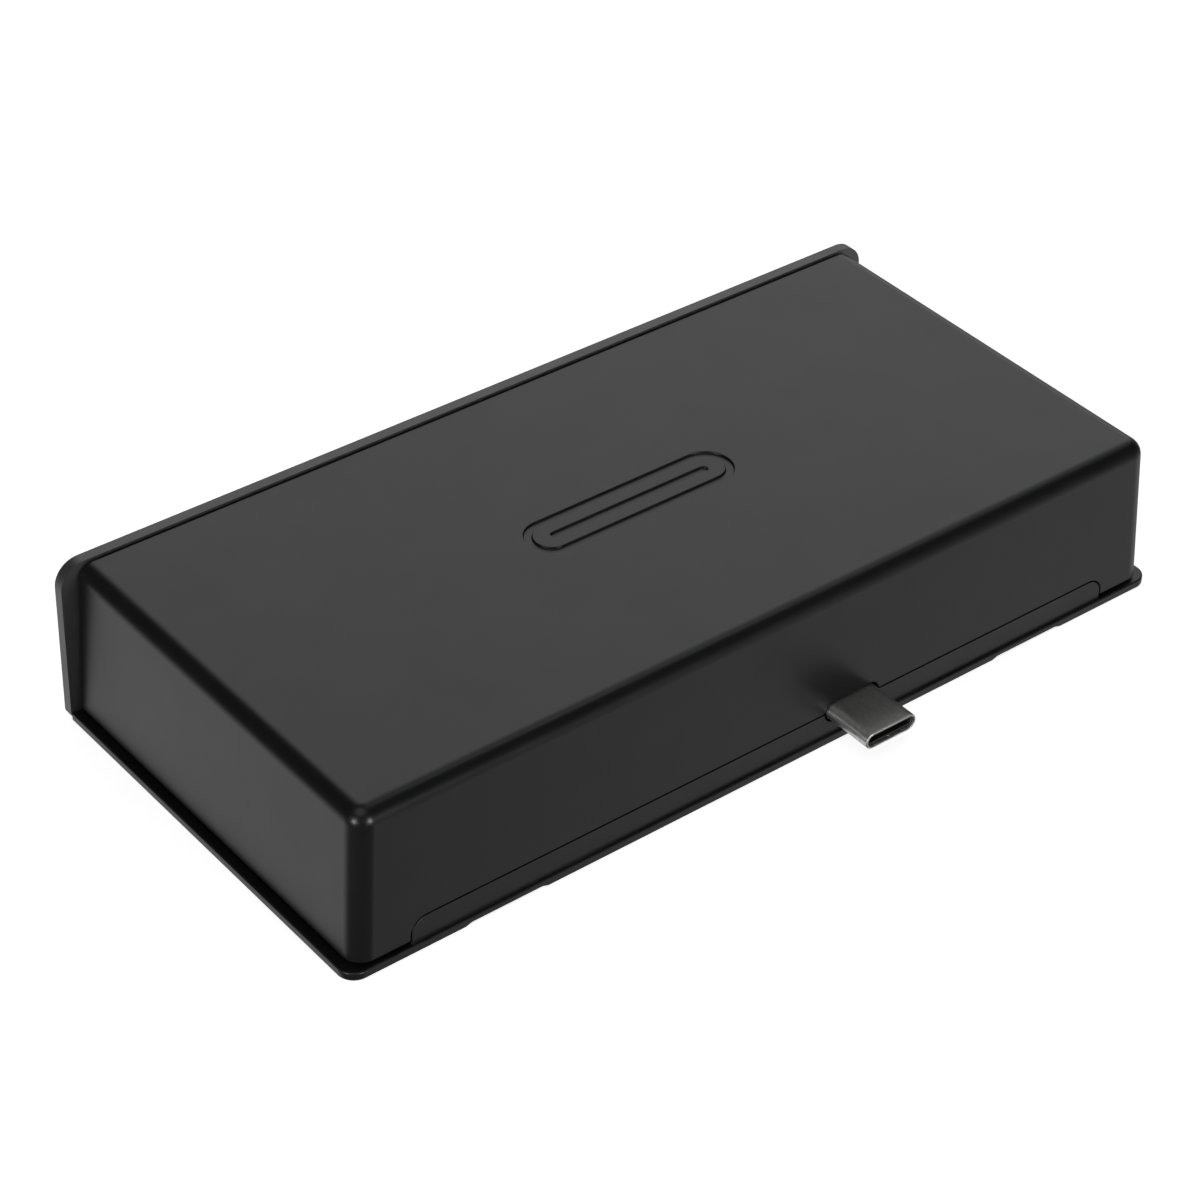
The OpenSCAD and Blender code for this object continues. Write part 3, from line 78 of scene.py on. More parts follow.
class NodeTree:
    """A material's node tree, with short ways to add and join nodes."""

    def __init__(self, name: str) -> None:
        """Starts an empty tree.

        Args:
            name: The material's name.
        """
        self.material = bpy.data.materials.new(name)
        self.material.use_nodes = True
        self.tree = self.material.node_tree
        self.tree.nodes.clear()
        self.output = self.tree.nodes.new("ShaderNodeOutputMaterial")
        self.place = self.add("ShaderNodeTexCoord").outputs["Object"]

    def add(self, kind: str, **settings: object) -> bpy.types.Node:
        """Adds a node.

        Args:
            kind: The node's type name.
            **settings: Properties to set on it.

        Returns:
            The new node.
        """
        node = self.tree.nodes.new(kind)
        for key, value in settings.items():
            setattr(node, key, value)
        return node

    def join(self, source: bpy.types.NodeSocket, target: bpy.types.NodeSocket) -> None:
        """Links an output socket to an input socket."""
        self.tree.links.new(source, target)

    def stretched(self, stretch: Sequence[float]) -> bpy.types.NodeSocket:
        """Gives the object's coordinates, scaled along each axis.

        Args:
            stretch: Factors along X, Y and Z.

        Returns:
            The scaled coordinates' socket.
        """
        mapping = self.add("ShaderNodeMapping")
        mapping.inputs["Scale"].default_value = stretch
        self.join(self.place, mapping.inputs["Vector"])
        return mapping.outputs["Vector"]

    def noise(
        self,
        size: float,
        detail: float = 3.0,
        stretch: Sequence[float] = Relief.EVEN.value,
        roughness: float = 0.55,
    ) -> bpy.types.NodeSocket:
        """Adds noise with features of a real size.

        Args:
            size: Length of one feature, in metres.
            detail: Octaves of finer noise.
            stretch: Factors along X, Y and Z.
            roughness: Strength of the finer octaves.

        Returns:
            The noise's value socket, from 0 to 1.
        """
        node = self.add("ShaderNodeTexNoise")
        node.inputs["Scale"].default_value = 1.0 / size
        node.inputs["Detail"].default_value = detail
        node.inputs["Roughness"].default_value = roughness
        self.join(self.stretched(stretch), node.inputs["Vector"])
        return node.outputs["Fac"]

    def spread(
        self, value: bpy.types.NodeSocket, low: float, high: float, start: float = 0.3, end: float = 0.7
    ) -> bpy.types.NodeSocket:
        """Maps a value onto a range.

        Args:
            value: The value to map.
            low: Result at start.
            high: Result at end.
            start: Value that gives low.
            end: Value that gives high.

        Returns:
            The mapped value's socket.
        """
        node = self.add("ShaderNodeMapRange")
        for key, number in (("From Min", start), ("From Max", end), ("To Min", low), ("To Max", high)):
            node.inputs[key].default_value = number
        self.join(value, node.inputs["Value"])
        return node.outputs["Result"]

    def blend(
        self, share: bpy.types.NodeSocket, first: Colour | bpy.types.NodeSocket, second: Colour
    ) -> bpy.types.NodeSocket:
        """Blends a second colour over a first.

        Args:
            share: How much of the second colour shows, from 0 to 1.
            first: The first colour, or a socket that gives it.
            second: The second colour.

        Returns:
            The blended colour's socket.
        """
        node = self.add("ShaderNodeMix", data_type="RGBA")
        self.join(share, node.inputs["Factor"])
        if isinstance(first, tuple):
            node.inputs["A"].default_value = (*first, 1.0)
        else:
            self.join(first, node.inputs["A"])
        node.inputs["B"].default_value = (*second, 1.0)
        return node.outputs["Result"]

    def relief(
        self, height: bpy.types.NodeSocket, depth: float, under: bpy.types.NodeSocket | None = None
    ) -> bpy.types.NodeSocket:
        """Turns a height into a bumped normal.

        Args:
            height: The height, from 0 to 1.
            depth: Real height of the relief, in metres.
            under: A normal that this one is laid over.

        Returns:
            The normal's socket.
        """
        node = self.add("ShaderNodeBump")
        node.inputs["Distance"].default_value = depth
        self.join(height, node.inputs["Height"])
        if under is not None:
            self.join(under, node.inputs["Normal"])
        return node.outputs["Normal"]


def shade(colour: Colour, factor: float) -> Colour:
    """Gives a colour made lighter or darker by a factor."""
    return tuple(min(1.0, channel * factor) for channel in colour)


@dataclass(frozen=True)
class Finish:
    """One real finish: its colour, its gloss and the relief that the light catches on.

    Attributes:
        slot: The record's material slot.
        colour: Mean colour.
        roughness: Mean roughness.
        metallic: 1 for bare metal and 0 for the rest.
        mottle: Share by which the colour varies.
        mottle_size: Length of one cloud of colour.
        gloss_spread: How far the roughness varies each way.
        gloss_size: Length of one cloud of gloss.
        grain_size: Length of one grain of the relief.
        grain_depth: Height of the relief.
        relief: Direction that the relief is drawn along.
        speckle: Colour of fine specks, or None.
        ior: Refractive index.
        coat: Weight of a clear coat.
        coat_roughness: Roughness of the clear coat.
        soft_light: Weight of the light that scatters inside.
        clear: Weight of the light that passes through.
        anisotropy: How far the highlight is drawn out.
    """

    slot: str
    colour: Colour
    roughness: float
    metallic: float = 0.0
    mottle: float = 0.12
    mottle_size: float = 6 * MM
    gloss_spread: float = 0.04
    gloss_size: float = 4 * MM
    grain_size: float = 0.12 * MM
    grain_depth: float = 0.004 * MM
    relief: Relief = Relief.EVEN
    speckle: Colour | None = None
    ior: float = 1.5
    coat: float = 0.0
    coat_roughness: float = 0.3
    soft_light: float = 0.0
    clear: float = 0.0
    anisotropy: float = 0.0

    def base_colour(self, nodes: NodeTree) -> bpy.types.NodeSocket:
        """Gives the colour over the surface, clouded and, if it has them, with fine specks."""
        clouds = nodes.spread(nodes.noise(self.mottle_size, 4.0), 0.0, 1.0)
        colour = nodes.blend(clouds, shade(self.colour, 1 - self.mottle), shade(self.colour, 1 + self.mottle))
        if self.speckle is not None:
            specks = nodes.spread(nodes.noise(3 * self.grain_size, 2.0), 0.0, 1.0, 0.58, 0.68)
            colour = nodes.blend(specks, colour, self.speckle)
        return colour

    def surface_normal(self, nodes: NodeTree) -> bpy.types.NodeSocket:
        """Gives the normal with the finish's fine relief on it."""
        stretch = self.relief.value
        fine = nodes.noise(self.grain_size, 3.0, stretch)
        return nodes.relief(fine, self.grain_depth)

    def surface_roughness(self, nodes: NodeTree) -> bpy.types.NodeSocket:
        """Gives the roughness, which varies as handling and moulding leave it."""
        clouds = nodes.noise(self.gloss_size, 5.0, self.relief.value, 0.65)
        low = max(0.02, self.roughness - self.gloss_spread)
        return nodes.spread(clouds, low, self.roughness + self.gloss_spread)

    def material(self) -> bpy.types.Material:
        """Builds the finish's material.

        Returns:
            The material, with its colour, roughness and normal from nodes.
        """
        nodes = NodeTree(self.slot)
        shader = nodes.add("ShaderNodeBsdfPrincipled")
        shader.inputs["Metallic"].default_value = self.metallic
        shader.inputs["IOR"].default_value = self.ior
        shader.inputs["Coat Weight"].default_value = self.coat
        shader.inputs["Coat Roughness"].default_value = self.coat_roughness
        shader.inputs["Subsurface Weight"].default_value = self.soft_light
        shader.inputs["Subsurface Scale"].default_value = 1.0 * MM
        shader.inputs["Transmission Weight"].default_value = self.clear
        shader.inputs["Anisotropic"].default_value = self.anisotropy
        nodes.join(self.base_colour(nodes), shader.inputs["Base Color"])
        nodes.join(self.surface_roughness(nodes), shader.inputs["Roughness"])
        nodes.join(self.surface_normal(nodes), shader.inputs["Normal"])
        nodes.join(shader.outputs["BSDF"], nodes.output.inputs["Surface"])
        return nodes.material


@dataclass(frozen=True)
class MouldedFinish(Finish):
    """Black moulding with an even eroded grain over a slow orange-peel waviness.

    Attributes:
        peel_size: Length of one wave of the orange peel.
        peel_depth: Height of the orange peel.
    """

    peel_size: float = 1.6 * MM
    peel_depth: float = 0.0016 * MM

    def surface_normal(self, nodes: NodeTree) -> bpy.types.NodeSocket:
        """Gives the normal with the grain laid over the orange peel."""
        peel = nodes.relief(nodes.noise(self.peel_size, 1.0), self.peel_depth)
        return nodes.relief(nodes.noise(self.grain_size, 2.0), self.grain_depth, peel)


@dataclass(frozen=True)
class BoardFinish(Finish):
    """Green solder mask over copper tracks, with plated holes between them.

    Attributes:
        copper: Colour of the tracks under the mask.
        tin: Colour of the plated holes.
        cell: Size of a patch of parallel tracks.
        pitch: Distance between two tracks.
        track_depth: Height of a track under the mask.
    """

    copper: Colour = (0.035, 0.21, 0.11)
    tin: Colour = (0.62, 0.60, 0.55)
    cell: float = 5.0 * MM
    pitch: float = 0.55 * MM
    track_depth: float = 0.02 * MM

    def tracks(self, nodes: NodeTree) -> bpy.types.NodeSocket:
        """Gives 1 on the tracks and 0 between them.

        Patches of tracks run along X or along Y, as a router lays them out.
        """
        along: list[bpy.types.NodeSocket] = []
        for axis in ("X", "Y"):
            wave = nodes.add("ShaderNodeTexWave", wave_type="BANDS", bands_direction=axis)
            wave.inputs["Scale"].default_value = 0.314 / self.pitch
            nodes.join(nodes.place, wave.inputs["Vector"])
            along.append(wave.outputs["Fac"])
        cells = nodes.add("ShaderNodeTexVoronoi", distance="CHEBYCHEV")
        cells.inputs["Scale"].default_value = 1.0 / self.cell
        nodes.join(nodes.place, cells.inputs["Vector"])
        split = nodes.add("ShaderNodeSeparateColor")
        nodes.join(cells.outputs["Color"], split.inputs["Color"])
        chosen = nodes.add("ShaderNodeMix", data_type="FLOAT")
        nodes.join(nodes.spread(split.outputs["Red"], 0.0, 1.0, 0.49, 0.51), chosen.inputs["Factor"])
        nodes.join(along[0], chosen.inputs["A"])
        nodes.join(along[1], chosen.inputs["B"])
        routed = nodes.add("ShaderNodeMath", operation="MULTIPLY")
        nodes.join(nodes.spread(chosen.outputs["Result"], 0.0, 1.0, 0.6, 0.7), routed.inputs[0])
        nodes.join(nodes.spread(split.outputs["Green"], 0.0, 1.0, 0.34, 0.36), routed.inputs[1])
        return routed.outputs["Value"]

    def holes(self, nodes: NodeTree) -> bpy.types.NodeSocket:
        """Gives 1 on the plated holes and 0 elsewhere."""
        cells = nodes.add("ShaderNodeTexVoronoi")
        cells.inputs["Scale"].default_value = 0.5 / self.cell
        nodes.join(nodes.place, cells.inputs["Vector"])
        return nodes.spread(cells.outputs["Distance"], 1.0, 0.0, 0.035, 0.045)

    def base_colour(self, nodes: NodeTree) -> bpy.types.NodeSocket:
        """Gives the mask's green, lighter over copper, with tinned holes."""
        mask = super().base_colour(nodes)
        tracked = nodes.blend(self.tracks(nodes), mask, self.copper)
        return nodes.blend(self.holes(nodes), tracked, self.tin)

    def surface_normal(self, nodes: NodeTree) -> bpy.types.NodeSocket:
        """Gives the normal with the tracks standing up under the mask."""
        return nodes.relief(self.tracks(nodes), self.track_depth, super().surface_normal(nodes))


@dataclass(frozen=True)
class CeramicFinish(Finish):
    """Fired ceramic body with tinned ends that face along X.

    Attributes:
        tin: Colour of the ends.
    """

    tin: Colour = (0.62, 0.62, 0.60)

    def base_colour(self, nodes: NodeTree) -> bpy.types.NodeSocket:
        """Gives the body's colour, with tin on the faces that look along X."""
        split = nodes.add("ShaderNodeSeparateXYZ")
        geometry = nodes.add("ShaderNodeNewGeometry")
        nodes.join(geometry.outputs["Normal"], split.inputs["Vector"])
        size = nodes.add("ShaderNodeMath", operation="ABSOLUTE")
        nodes.join(split.outputs["X"], size.inputs[0])
        ends = nodes.spread(size.outputs["Value"], 0.0, 1.0, 0.45, 0.55)
        return nodes.blend(ends, super().base_colour(nodes), self.tin)


FINISHES: tuple[Finish, ...] = (
    MouldedFinish("cover_black", (0.0055, 0.0055, 0.0057), 0.33, gloss_spread=0.025, gloss_size=9 * MM,
                  grain_size=0.16 * MM, grain_depth=0.0035 * MM),
    MouldedFinish("base_black", (0.006, 0.006, 0.0062), 0.36, grain_size=0.16 * MM, grain_depth=0.004 * MM),
    MouldedFinish("fascia_black", (0.03, 0.03, 0.031), 0.45, ior=1.8, grain_size=0.22 * MM,
                  grain_depth=0.012 * MM, speckle=(0.034, 0.034, 0.035)),
    Finish("zinc_steel", (0.52, 0.54, 0.58), 0.3, metallic=1.0, grain_size=0.08 * MM, mottle_size=1.5 * MM),
    Finish("turned_brass", (0.72, 0.53, 0.23), 0.26, metallic=1.0, relief=Relief.DRAWN_ALONG_X,
           grain_size=0.06 * MM),
    BoardFinish("board_green", (0.012, 0.105, 0.05), 0.3, coat=0.4, coat_roughness=0.12),
    Finish("plug_steel", (0.74, 0.73, 0.72), 0.42, metallic=1.0, mottle=0.1, mottle_size=0.5 * MM,
           gloss_spread=0.07, gloss_size=0.35 * MM, grain_size=0.1 * MM, grain_depth=0.004 * MM),
    Finish("socket_steel", (0.64, 0.63, 0.61), 0.2, metallic=1.0, gloss_spread=0.06, gloss_size=1.2 * MM,
           grain_size=0.09 * MM, grain_depth=0.0015 * MM, relief=Relief.DRAWN_ALONG_Y),
    Finish("connector_black", (0.014, 0.014, 0.0145), 0.42, grain_size=0.1 * MM, grain_depth=0.004 * MM,
           relief=Relief.DRAWN_ALONG_X, speckle=(0.022, 0.022, 0.022)),
    Finish("contact_gold", (0.86, 0.62, 0.24), 0.2, metallic=1.0, gloss_size=0.5 * MM, grain_size=0.05 * MM,
           grain_depth=0.001 * MM),
    Finish("pusher_nylon", (0.72, 0.70, 0.62), 0.42, soft_light=0.3, grain_size=0.2 * MM),
    Finish("spring_steel", (0.46, 0.46, 0.47), 0.24, metallic=1.0, grain_size=0.05 * MM),
    Finish("chip_epoxy", (0.02, 0.02, 0.021), 0.6, grain_size=0.06 * MM, grain_depth=0.008 * MM,
           speckle=(0.035, 0.035, 0.037)),
    Finish("thermal_pad", (0.23, 0.29, 0.42), 0.7, soft_light=0.15, grain_size=0.18 * MM,
           grain_depth=0.02 * MM, speckle=(0.33, 0.38, 0.5)),
    Finish("spreader_aluminium", (0.66, 0.67, 0.69), 0.34, metallic=1.0, relief=Relief.DRAWN_ALONG_X,
           grain_size=0.12 * MM, grain_depth=0.006 * MM),
    Finish("can_aluminium", (0.68, 0.68, 0.69), 0.24, metallic=1.0, relief=Relief.DRAWN_ALONG_Z,
           grain_size=0.08 * MM),
    CeramicFinish("tan_ceramic", (0.36, 0.24, 0.14), 0.5, grain_size=0.08 * MM),
    Finish("ferrite_grey", (0.085, 0.085, 0.09), 0.62, grain_size=0.12 * MM, grain_depth=0.014 * MM,
           speckle=(0.16, 0.16, 0.165)),
    Finish("lamp_resin", (0.8, 0.78, 0.62), 0.18, soft_light=0.4),
    Finish("clear_pipe", (0.86, 0.9, 0.88), 0.08, clear=0.85, mottle=0.03, gloss_spread=0.02),
)


class Workshop:
    """Keeps one material for each finish and dresses objects with them."""

    def __init__(self, finishes: Iterable[Finish]) -> None:
        """Builds each finish's material.

        Args:
            finishes: The finishes, one for each of the record's slots.
        """
        self.materials = {finish.slot: finish.material() for finish in finishes}

    def dress(self, obj: bpy.types.Object, slot: str) -> None:
        """Gives an object one slot's material, in place of what it has.

        Args:
            obj: The object.
            slot: The finish's slot.
        """
        obj.data.materials.clear()
        obj.data.materials.append(self.materials[slot])


# ---------- mesh helpers ----------


def linked(name: str, bm: bmesh.types.BMesh) -> bpy.types.Object:
    """Turns a bmesh into a linked object with outward normals.

    Args:
        name: The object's name.
        bm: The bmesh, which is freed.

    Returns:
        The new object.
    """
    bmesh.ops.recalc_face_normals(bm, faces=bm.faces)
    mesh = bpy.data.meshes.new(name)
    bm.to_mesh(mesh)
    bm.free()
    obj = bpy.data.objects.new(name, mesh)
    bpy.context.scene.collection.objects.link(obj)
    return obj


def arc(centre: tuple[float, float], radius: float, start: float, end: float, steps: int) -> Outline:
    """Gives the points of an arc.

    Args:
        centre: The arc's centre.
        radius: The arc's radius.
        start: First angle, in degrees.
        end: Last angle, in degrees.
        steps: Number of straight steps.

    Returns:
        steps + 1 points.
    """
    angles = (math.radians(start + (end - start) * i / steps) for i in range(steps + 1))
    return [(centre[0] + radius * math.cos(a), centre[1] + radius * math.sin(a)) for a in angles]


def circle(x: float, y: float, radius: float) -> Outline:
    """Gives a circle's outline in 10 degree steps."""
    return arc((x, y), radius, 0, 350, 35)


def stadium(width: float, height: float, steps: int = 16) -> Outline:
    """Gives a slot outline with round ends, about the origin."""
    r = height / 2
    x = width / 2 - r
    return arc((x, 0), r, -90, 90, steps) + arc((-x, 0), r, 90, 270, steps)


def band(bm: bmesh.types.BMesh, first: Sequence[bmesh.types.BMVert],
         second: Sequence[bmesh.types.BMVert]) -> None:
    """Joins two closed rings of the same length with a band of faces."""
    for i in range(len(first)):
        j = (i + 1) % len(first)
        bm.faces.new((first[i], first[j], second[j], second[i]))


def prism(name: str, outline: Outline, place: Callable[[float, float, float], Vector], low: float,
          high: float) -> bpy.types.Object:
    """Builds a straight prism.

    Args:
        name: The object's name.
        outline: The prism's flat outline.
        place: Turns an outline point and a height into a point in space.
        low: Height of one end.
        high: Height of the other end.

    Returns:
        The prism's object.
    """
    bm = bmesh.new()
    ends = [[bm.verts.new(place(u, v, h)) for u, v in outline] for h in (low, high)]
    for ring in ends:
        bm.faces.new(ring)
    band(bm, *ends)
    return linked(name, bm)


def upright(u: float, v: float, h: float) -> Vector:
    """Places an outline in X and Y, with its height along Z."""
    return Vector((u, v, h))


def lengthwise(u: float, v: float, h: float) -> Vector:
    """Places an outline in X and Z, with its height along Y."""
    return Vector((u, h, v))


def apply_modifiers(obj: bpy.types.Object) -> None:
    """Bakes an object's modifiers into its mesh."""
    bpy.context.view_layer.update()
    graph = bpy.context.evaluated_depsgraph_get()
    mesh = bpy.data.meshes.new_from_object(obj.evaluated_get(graph), depsgraph=graph)
    old = obj.data
    obj.modifiers.clear()
    obj.data = mesh
    bpy.data.meshes.remove(old)


def carve(obj: bpy.types.Object, tools: Sequence[bpy.types.Object], operation: str = "DIFFERENCE") -> None:
    """Cuts tools out of an object, or adds them to it, and removes the tools.

    Args:
        obj: The object that is changed.
        tools: The tools.
        operation: "DIFFERENCE" or "UNION".
    """
    for tool in tools:
        cut = obj.modifiers.new("cut", "BOOLEAN")
        cut.operation = operation
        cut.solver = "EXACT"
        cut.object = tool
        apply_modifiers(obj)
        bpy.data.objects.remove(tool)


def shade_smooth(obj: bpy.types.Object, weight: int = 80) -> None:
    """Shades an object smooth, with normals that favour its large faces by a weight."""
    for polygon in obj.data.polygons:
        polygon.use_smooth = True
    weights = obj.modifiers.new("shading", "WEIGHTED_NORMAL")
    weights.keep_sharp = False
    weights.weight = weight


def soften(obj: bpy.types.Object, width: float, segments: int = 2) -> None:
    """Rounds an object's sharp edges, so that they catch the light as real ones do.

    Args:
        obj: The object.
        width: Width of the rounding.
        segments: Steps across the rounding.
    """
    bevel = obj.modifiers.new("rounding", "BEVEL")
    bevel.limit_method = "ANGLE"
    bevel.angle_limit = CREASE_ANGLE
    bevel.width = width
    bevel.segments = segments
    bevel.miter_outer = "MITER_ARC"
    shade_smooth(obj)


def soften_node(node: bpy.types.Object, width: float, segments: int = 2) -> None:
    """Rounds the sharp edges of a CAD node with modifiers, which leave its own mesh alone.

    Args:
        node: The CAD node.
        width: Width of the rounding.
        segments: Steps across the rounding.
    """
    weld = node.modifiers.new("weld", "WELD")
    weld.merge_threshold = WELD_GAP
    flat = node.modifiers.new("flats", "DECIMATE")
    flat.decimate_type = "DISSOLVE"
    flat.angle_limit = FLAT_ANGLE
    soften(node, width, segments)


def clean_copy(node: str, name: str) -> bpy.types.Object:
    """Copies a CAD node's mesh into a new object, welded and with whole flat faces.

    Args:
        node: The CAD node's name.
        name: The new object's name.

    Returns:
        The new object.
    """
    bm = bmesh.new()
    bm.from_mesh(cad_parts[node].data)
    bmesh.ops.remove_doubles(bm, verts=bm.verts, dist=WELD_GAP)
    bmesh.ops.dissolve_limit(bm, angle_limit=FLAT_ANGLE, verts=bm.verts, edges=bm.edges)
    return linked(name, bm)


# ---------- casing ----------


@dataclass
class Cover:
    """The moulded cover: a top, two drafted ends and a drafted rear wall, open in front and below.

    Attributes:
        wall: Wall thickness.
        corner_r: Radius of the upright rear corners.
        edge_r: Radius of the edges round the top.
        end_draft: Draft of the two ends.
        rear_draft: Draft of the rear wall.
        seam_gap: Gap between the cover and the base's lip.
        lip_w: Width of the base's lip.
        lip_r: Radius of the lip's upper corners.
        plug_gap: Gap round the plug.
        mark: Width and height of the debossed mark.
        mark_line: Line width of the mark.
        mark_depth: Depth of the mark.
        boss_r: Radius of the screw bosses.
        insert_r: Radius of the inserts that the bosses hold.
        boss_seats: Height of the rear and of the front bosses' feet.
        bore_reach: Top of a bore, above its boss's foot.
        least_edge: Least rounding of the inner face's top edges.
        least_corner: Least radius of the inner face's upright corners.
        arc_steps: Steps across each rounding.
    """

    wall: float = 1.6 * MM
    corner_r: float = 2.55 * MM
    edge_r: float = 2.25 * MM
    end_draft: float = math.radians(3.3)
    rear_draft: float = math.radians(2.5)
    seam_gap: float = 0.15 * MM
    lip_w: float = 111.6 * MM
    lip_r: float = 2.2 * MM
    plug_gap: float = 0.35 * MM
    mark: tuple[float, float] = (32 * MM, 7 * MM)
    mark_line: float = 1.1 * MM
    mark_depth: float = 0.3 * MM
    boss_r: float = 3.0 * MM
    insert_r: float = 1.9 * MM
    boss_seats: tuple[float, float] = (3.0 * MM, 4.2 * MM)
    bore_reach: float = 4.2 * MM
    least_edge: float = 0.5 * MM
    least_corner: float = 0.6 * MM
    arc_steps: int = 12

    def __post_init__(self) -> None:
        """Takes the cover's place from the frame."""
        self.low, self.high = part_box("cover")
        plug_low, plug_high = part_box("plug_shell")
        self.plug_centre = (plug_low + plug_high) / 2
        self.plug_size = plug_high - plug_low

    def ring(self, inset: Vector, fillet: float, radius: float, z: float) -> list[Vector]:
        """Gives one ring of the wall, from the left front round both rear corners.

        Args:
            inset: How far the ends and the rear wall stand in from the foot's own outline.
            fillet: How far the rounding of the top edge takes the ring in.
            radius: Corner radius before the rounding.
            z: The ring's height.

        Returns:
            The ring's points.
        """
        x = self.high.x - inset.x - fillet
        y = self.low.y + inset.y + fillet
        r = radius - fillet
        corners = arc((-x + r, y + r), r, 180, 270, self.arc_steps)
        corners += arc((x - r, y + r), r, 270, 360, self.arc_steps)
        points = [(-x, self.high.y), *corners, (x, self.high.y)]
        return [Vector((u, v, z)) for u, v in points]

    def rings(self, inset: float) -> list[list[Vector]]:
        """Gives the rings from the foot up to the top.

        Args:
            inset: 0 for the outer face, and the wall's thickness for the inner one.

        Returns:
            The rings, lowest first.
        """
        radius = max(self.corner_r - inset, self.least_corner)
        edge = max(self.edge_r - inset, self.least_edge)
        lean = (self.end_draft + self.rear_draft) / 2
        centre_z = self.high.z - inset - edge
        rise = centre_z + edge * math.sin(lean) - self.low.z
        drafted = Vector((rise * math.tan(self.end_draft), rise * math.tan(self.rear_draft)))
        flat = Vector((inset, inset))
        found = [self.ring(flat, 0.0, radius, self.low.z)]
        for step in range(self.arc_steps + 1):
            angle = lean + (math.pi / 2 - lean) * step / self.arc_steps
            fillet = edge * (math.cos(lean) - math.cos(angle))
            found.append(self.ring(flat + drafted, fillet, radius, centre_z + edge * math.sin(angle)))
        return found

    def shell(self) -> bpy.types.Object:
        """Builds the closed shell between the outer and the inner face.

        Returns:
            The shell's object, with no openings cut yet.
        """
        bm = bmesh.new()
        insets = (0.0, self.wall)
        sides = [[[bm.verts.new(p) for p in ring] for ring in self.rings(inset)] for inset in insets]
        for rings in sides:
            for lower, upper in zip(rings, rings[1:]):
                for i in range(len(lower) - 1):
                    bm.faces.new((lower[i], lower[i + 1], upper[i + 1], upper[i]))
            bm.faces.new(rings[-1])
        outer, inner = sides
        for i in range(len(outer[0]) - 1):
            bm.faces.new((outer[0][i], outer[0][i + 1], inner[0][i + 1], inner[0][i]))
        for end in (0, -1):
            for k in range(len(outer) - 1):
                bm.faces.new((outer[k][end], outer[k + 1][end], inner[k + 1][end], inner[k][end]))
        bm.faces.new((outer[-1][0], outer[-1][-1], inner[-1][-1], inner[-1][0]))
        return linked("cover_shell", bm)

    def lip_notch(self) -> bpy.types.Object:
        """Builds the tool that cuts room for the base's lip in the rear wall."""
        x = self.lip_w / 2 + self.seam_gap
        top = self.plug_centre.z + self.seam_gap
        r = self.lip_r + self.seam_gap
        foot = -OVERSHOOT
        outline = [(-x, foot), (x, foot)]
        outline += arc((x - r, top - r), r, 0, 90, self.arc_steps)
        outline += arc((-x + r, top - r), r, 90, 180, self.arc_steps)
        rear = self.low.y
        return prism("notch", outline, lengthwise, rear - OVERSHOOT, rear + self.wall + self.seam_gap)

    def plug_window(self) -> bpy.types.Object:
        """Builds the tool that cuts the opening for the plug."""
        outline = stadium(self.plug_size.x + 2 * self.plug_gap, self.plug_size.z + 2 * self.plug_gap)
        moved = [(u + self.plug_centre.x, v + self.plug_centre.z) for u, v in outline]
        rear = self.low.y
        return prism("window", moved, lengthwise, rear - OVERSHOOT, rear + self.wall + 2 * OVERSHOOT)

    def mark_tools(self) -> list[bpy.types.Object]:
        """Builds the tools that press the generic socket mark into the top.

        Returns:
            The ring's tool and the tongue's tool.
        """
        width, height = self.mark
        floor = self.high.z - self.mark_depth
        lid = self.high.z + OVERSHOOT
        ring = prism("ring", stadium(width, height, 24), upright, floor, lid)
        inner = stadium(width - 2 * self.mark_line, height - 2 * self.mark_line, 24)
        carve(ring, [prism("core", inner, upright, floor - OVERSHOOT, lid + OVERSHOOT)])
        tongue = prism("tongue", stadium(width - height, self.mark_line, 12), upright, floor, lid)
        return [ring, tongue]

    def bosses(self) -> tuple[list[bpy.types.Object], list[bpy.types.Object]]:
        """Builds the four screw bosses and the tools that bore them.

        Returns:
            The bosses, and the bores' tools.
        """
        low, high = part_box("case_inserts")
        rear_seat, front_seat = self.boss_seats
        seats = {low.y + self.insert_r: rear_seat, high.y - self.insert_r: front_seat}
        top = self.high.z - self.wall / 2
        solids: list[bpy.types.Object] = []
        bores: list[bpy.types.Object] = []
        for side in (-1, 1):
            x = side * (high.x - self.insert_r)
            for y, seat in seats.items():
                solids.append(prism("boss", circle(x, y, self.boss_r), upright, seat, top))
                bores.append(prism("bore", circle(x, y, self.insert_r), upright, seat - OVERSHOOT,
                                   seat + self.bore_reach))
        return solids, bores

    def build(self, shop: Workshop) -> bpy.types.Object:
        """Builds and dresses the cover.

        Args:
            shop: Where the finishes come from.

        Returns:
            The cover's object.
        """
        cover = self.shell()
        solids, bores = self.bosses()
        carve(cover, solids, "UNION")
        carve(cover, [*bores, self.lip_notch(), self.plug_window(), *self.mark_tools()])
        soften(cover, 0.14 * MM, 3)
        shop.dress(cover, "cover_black")
        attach(cover, CASE)
        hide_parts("cover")
        return cover


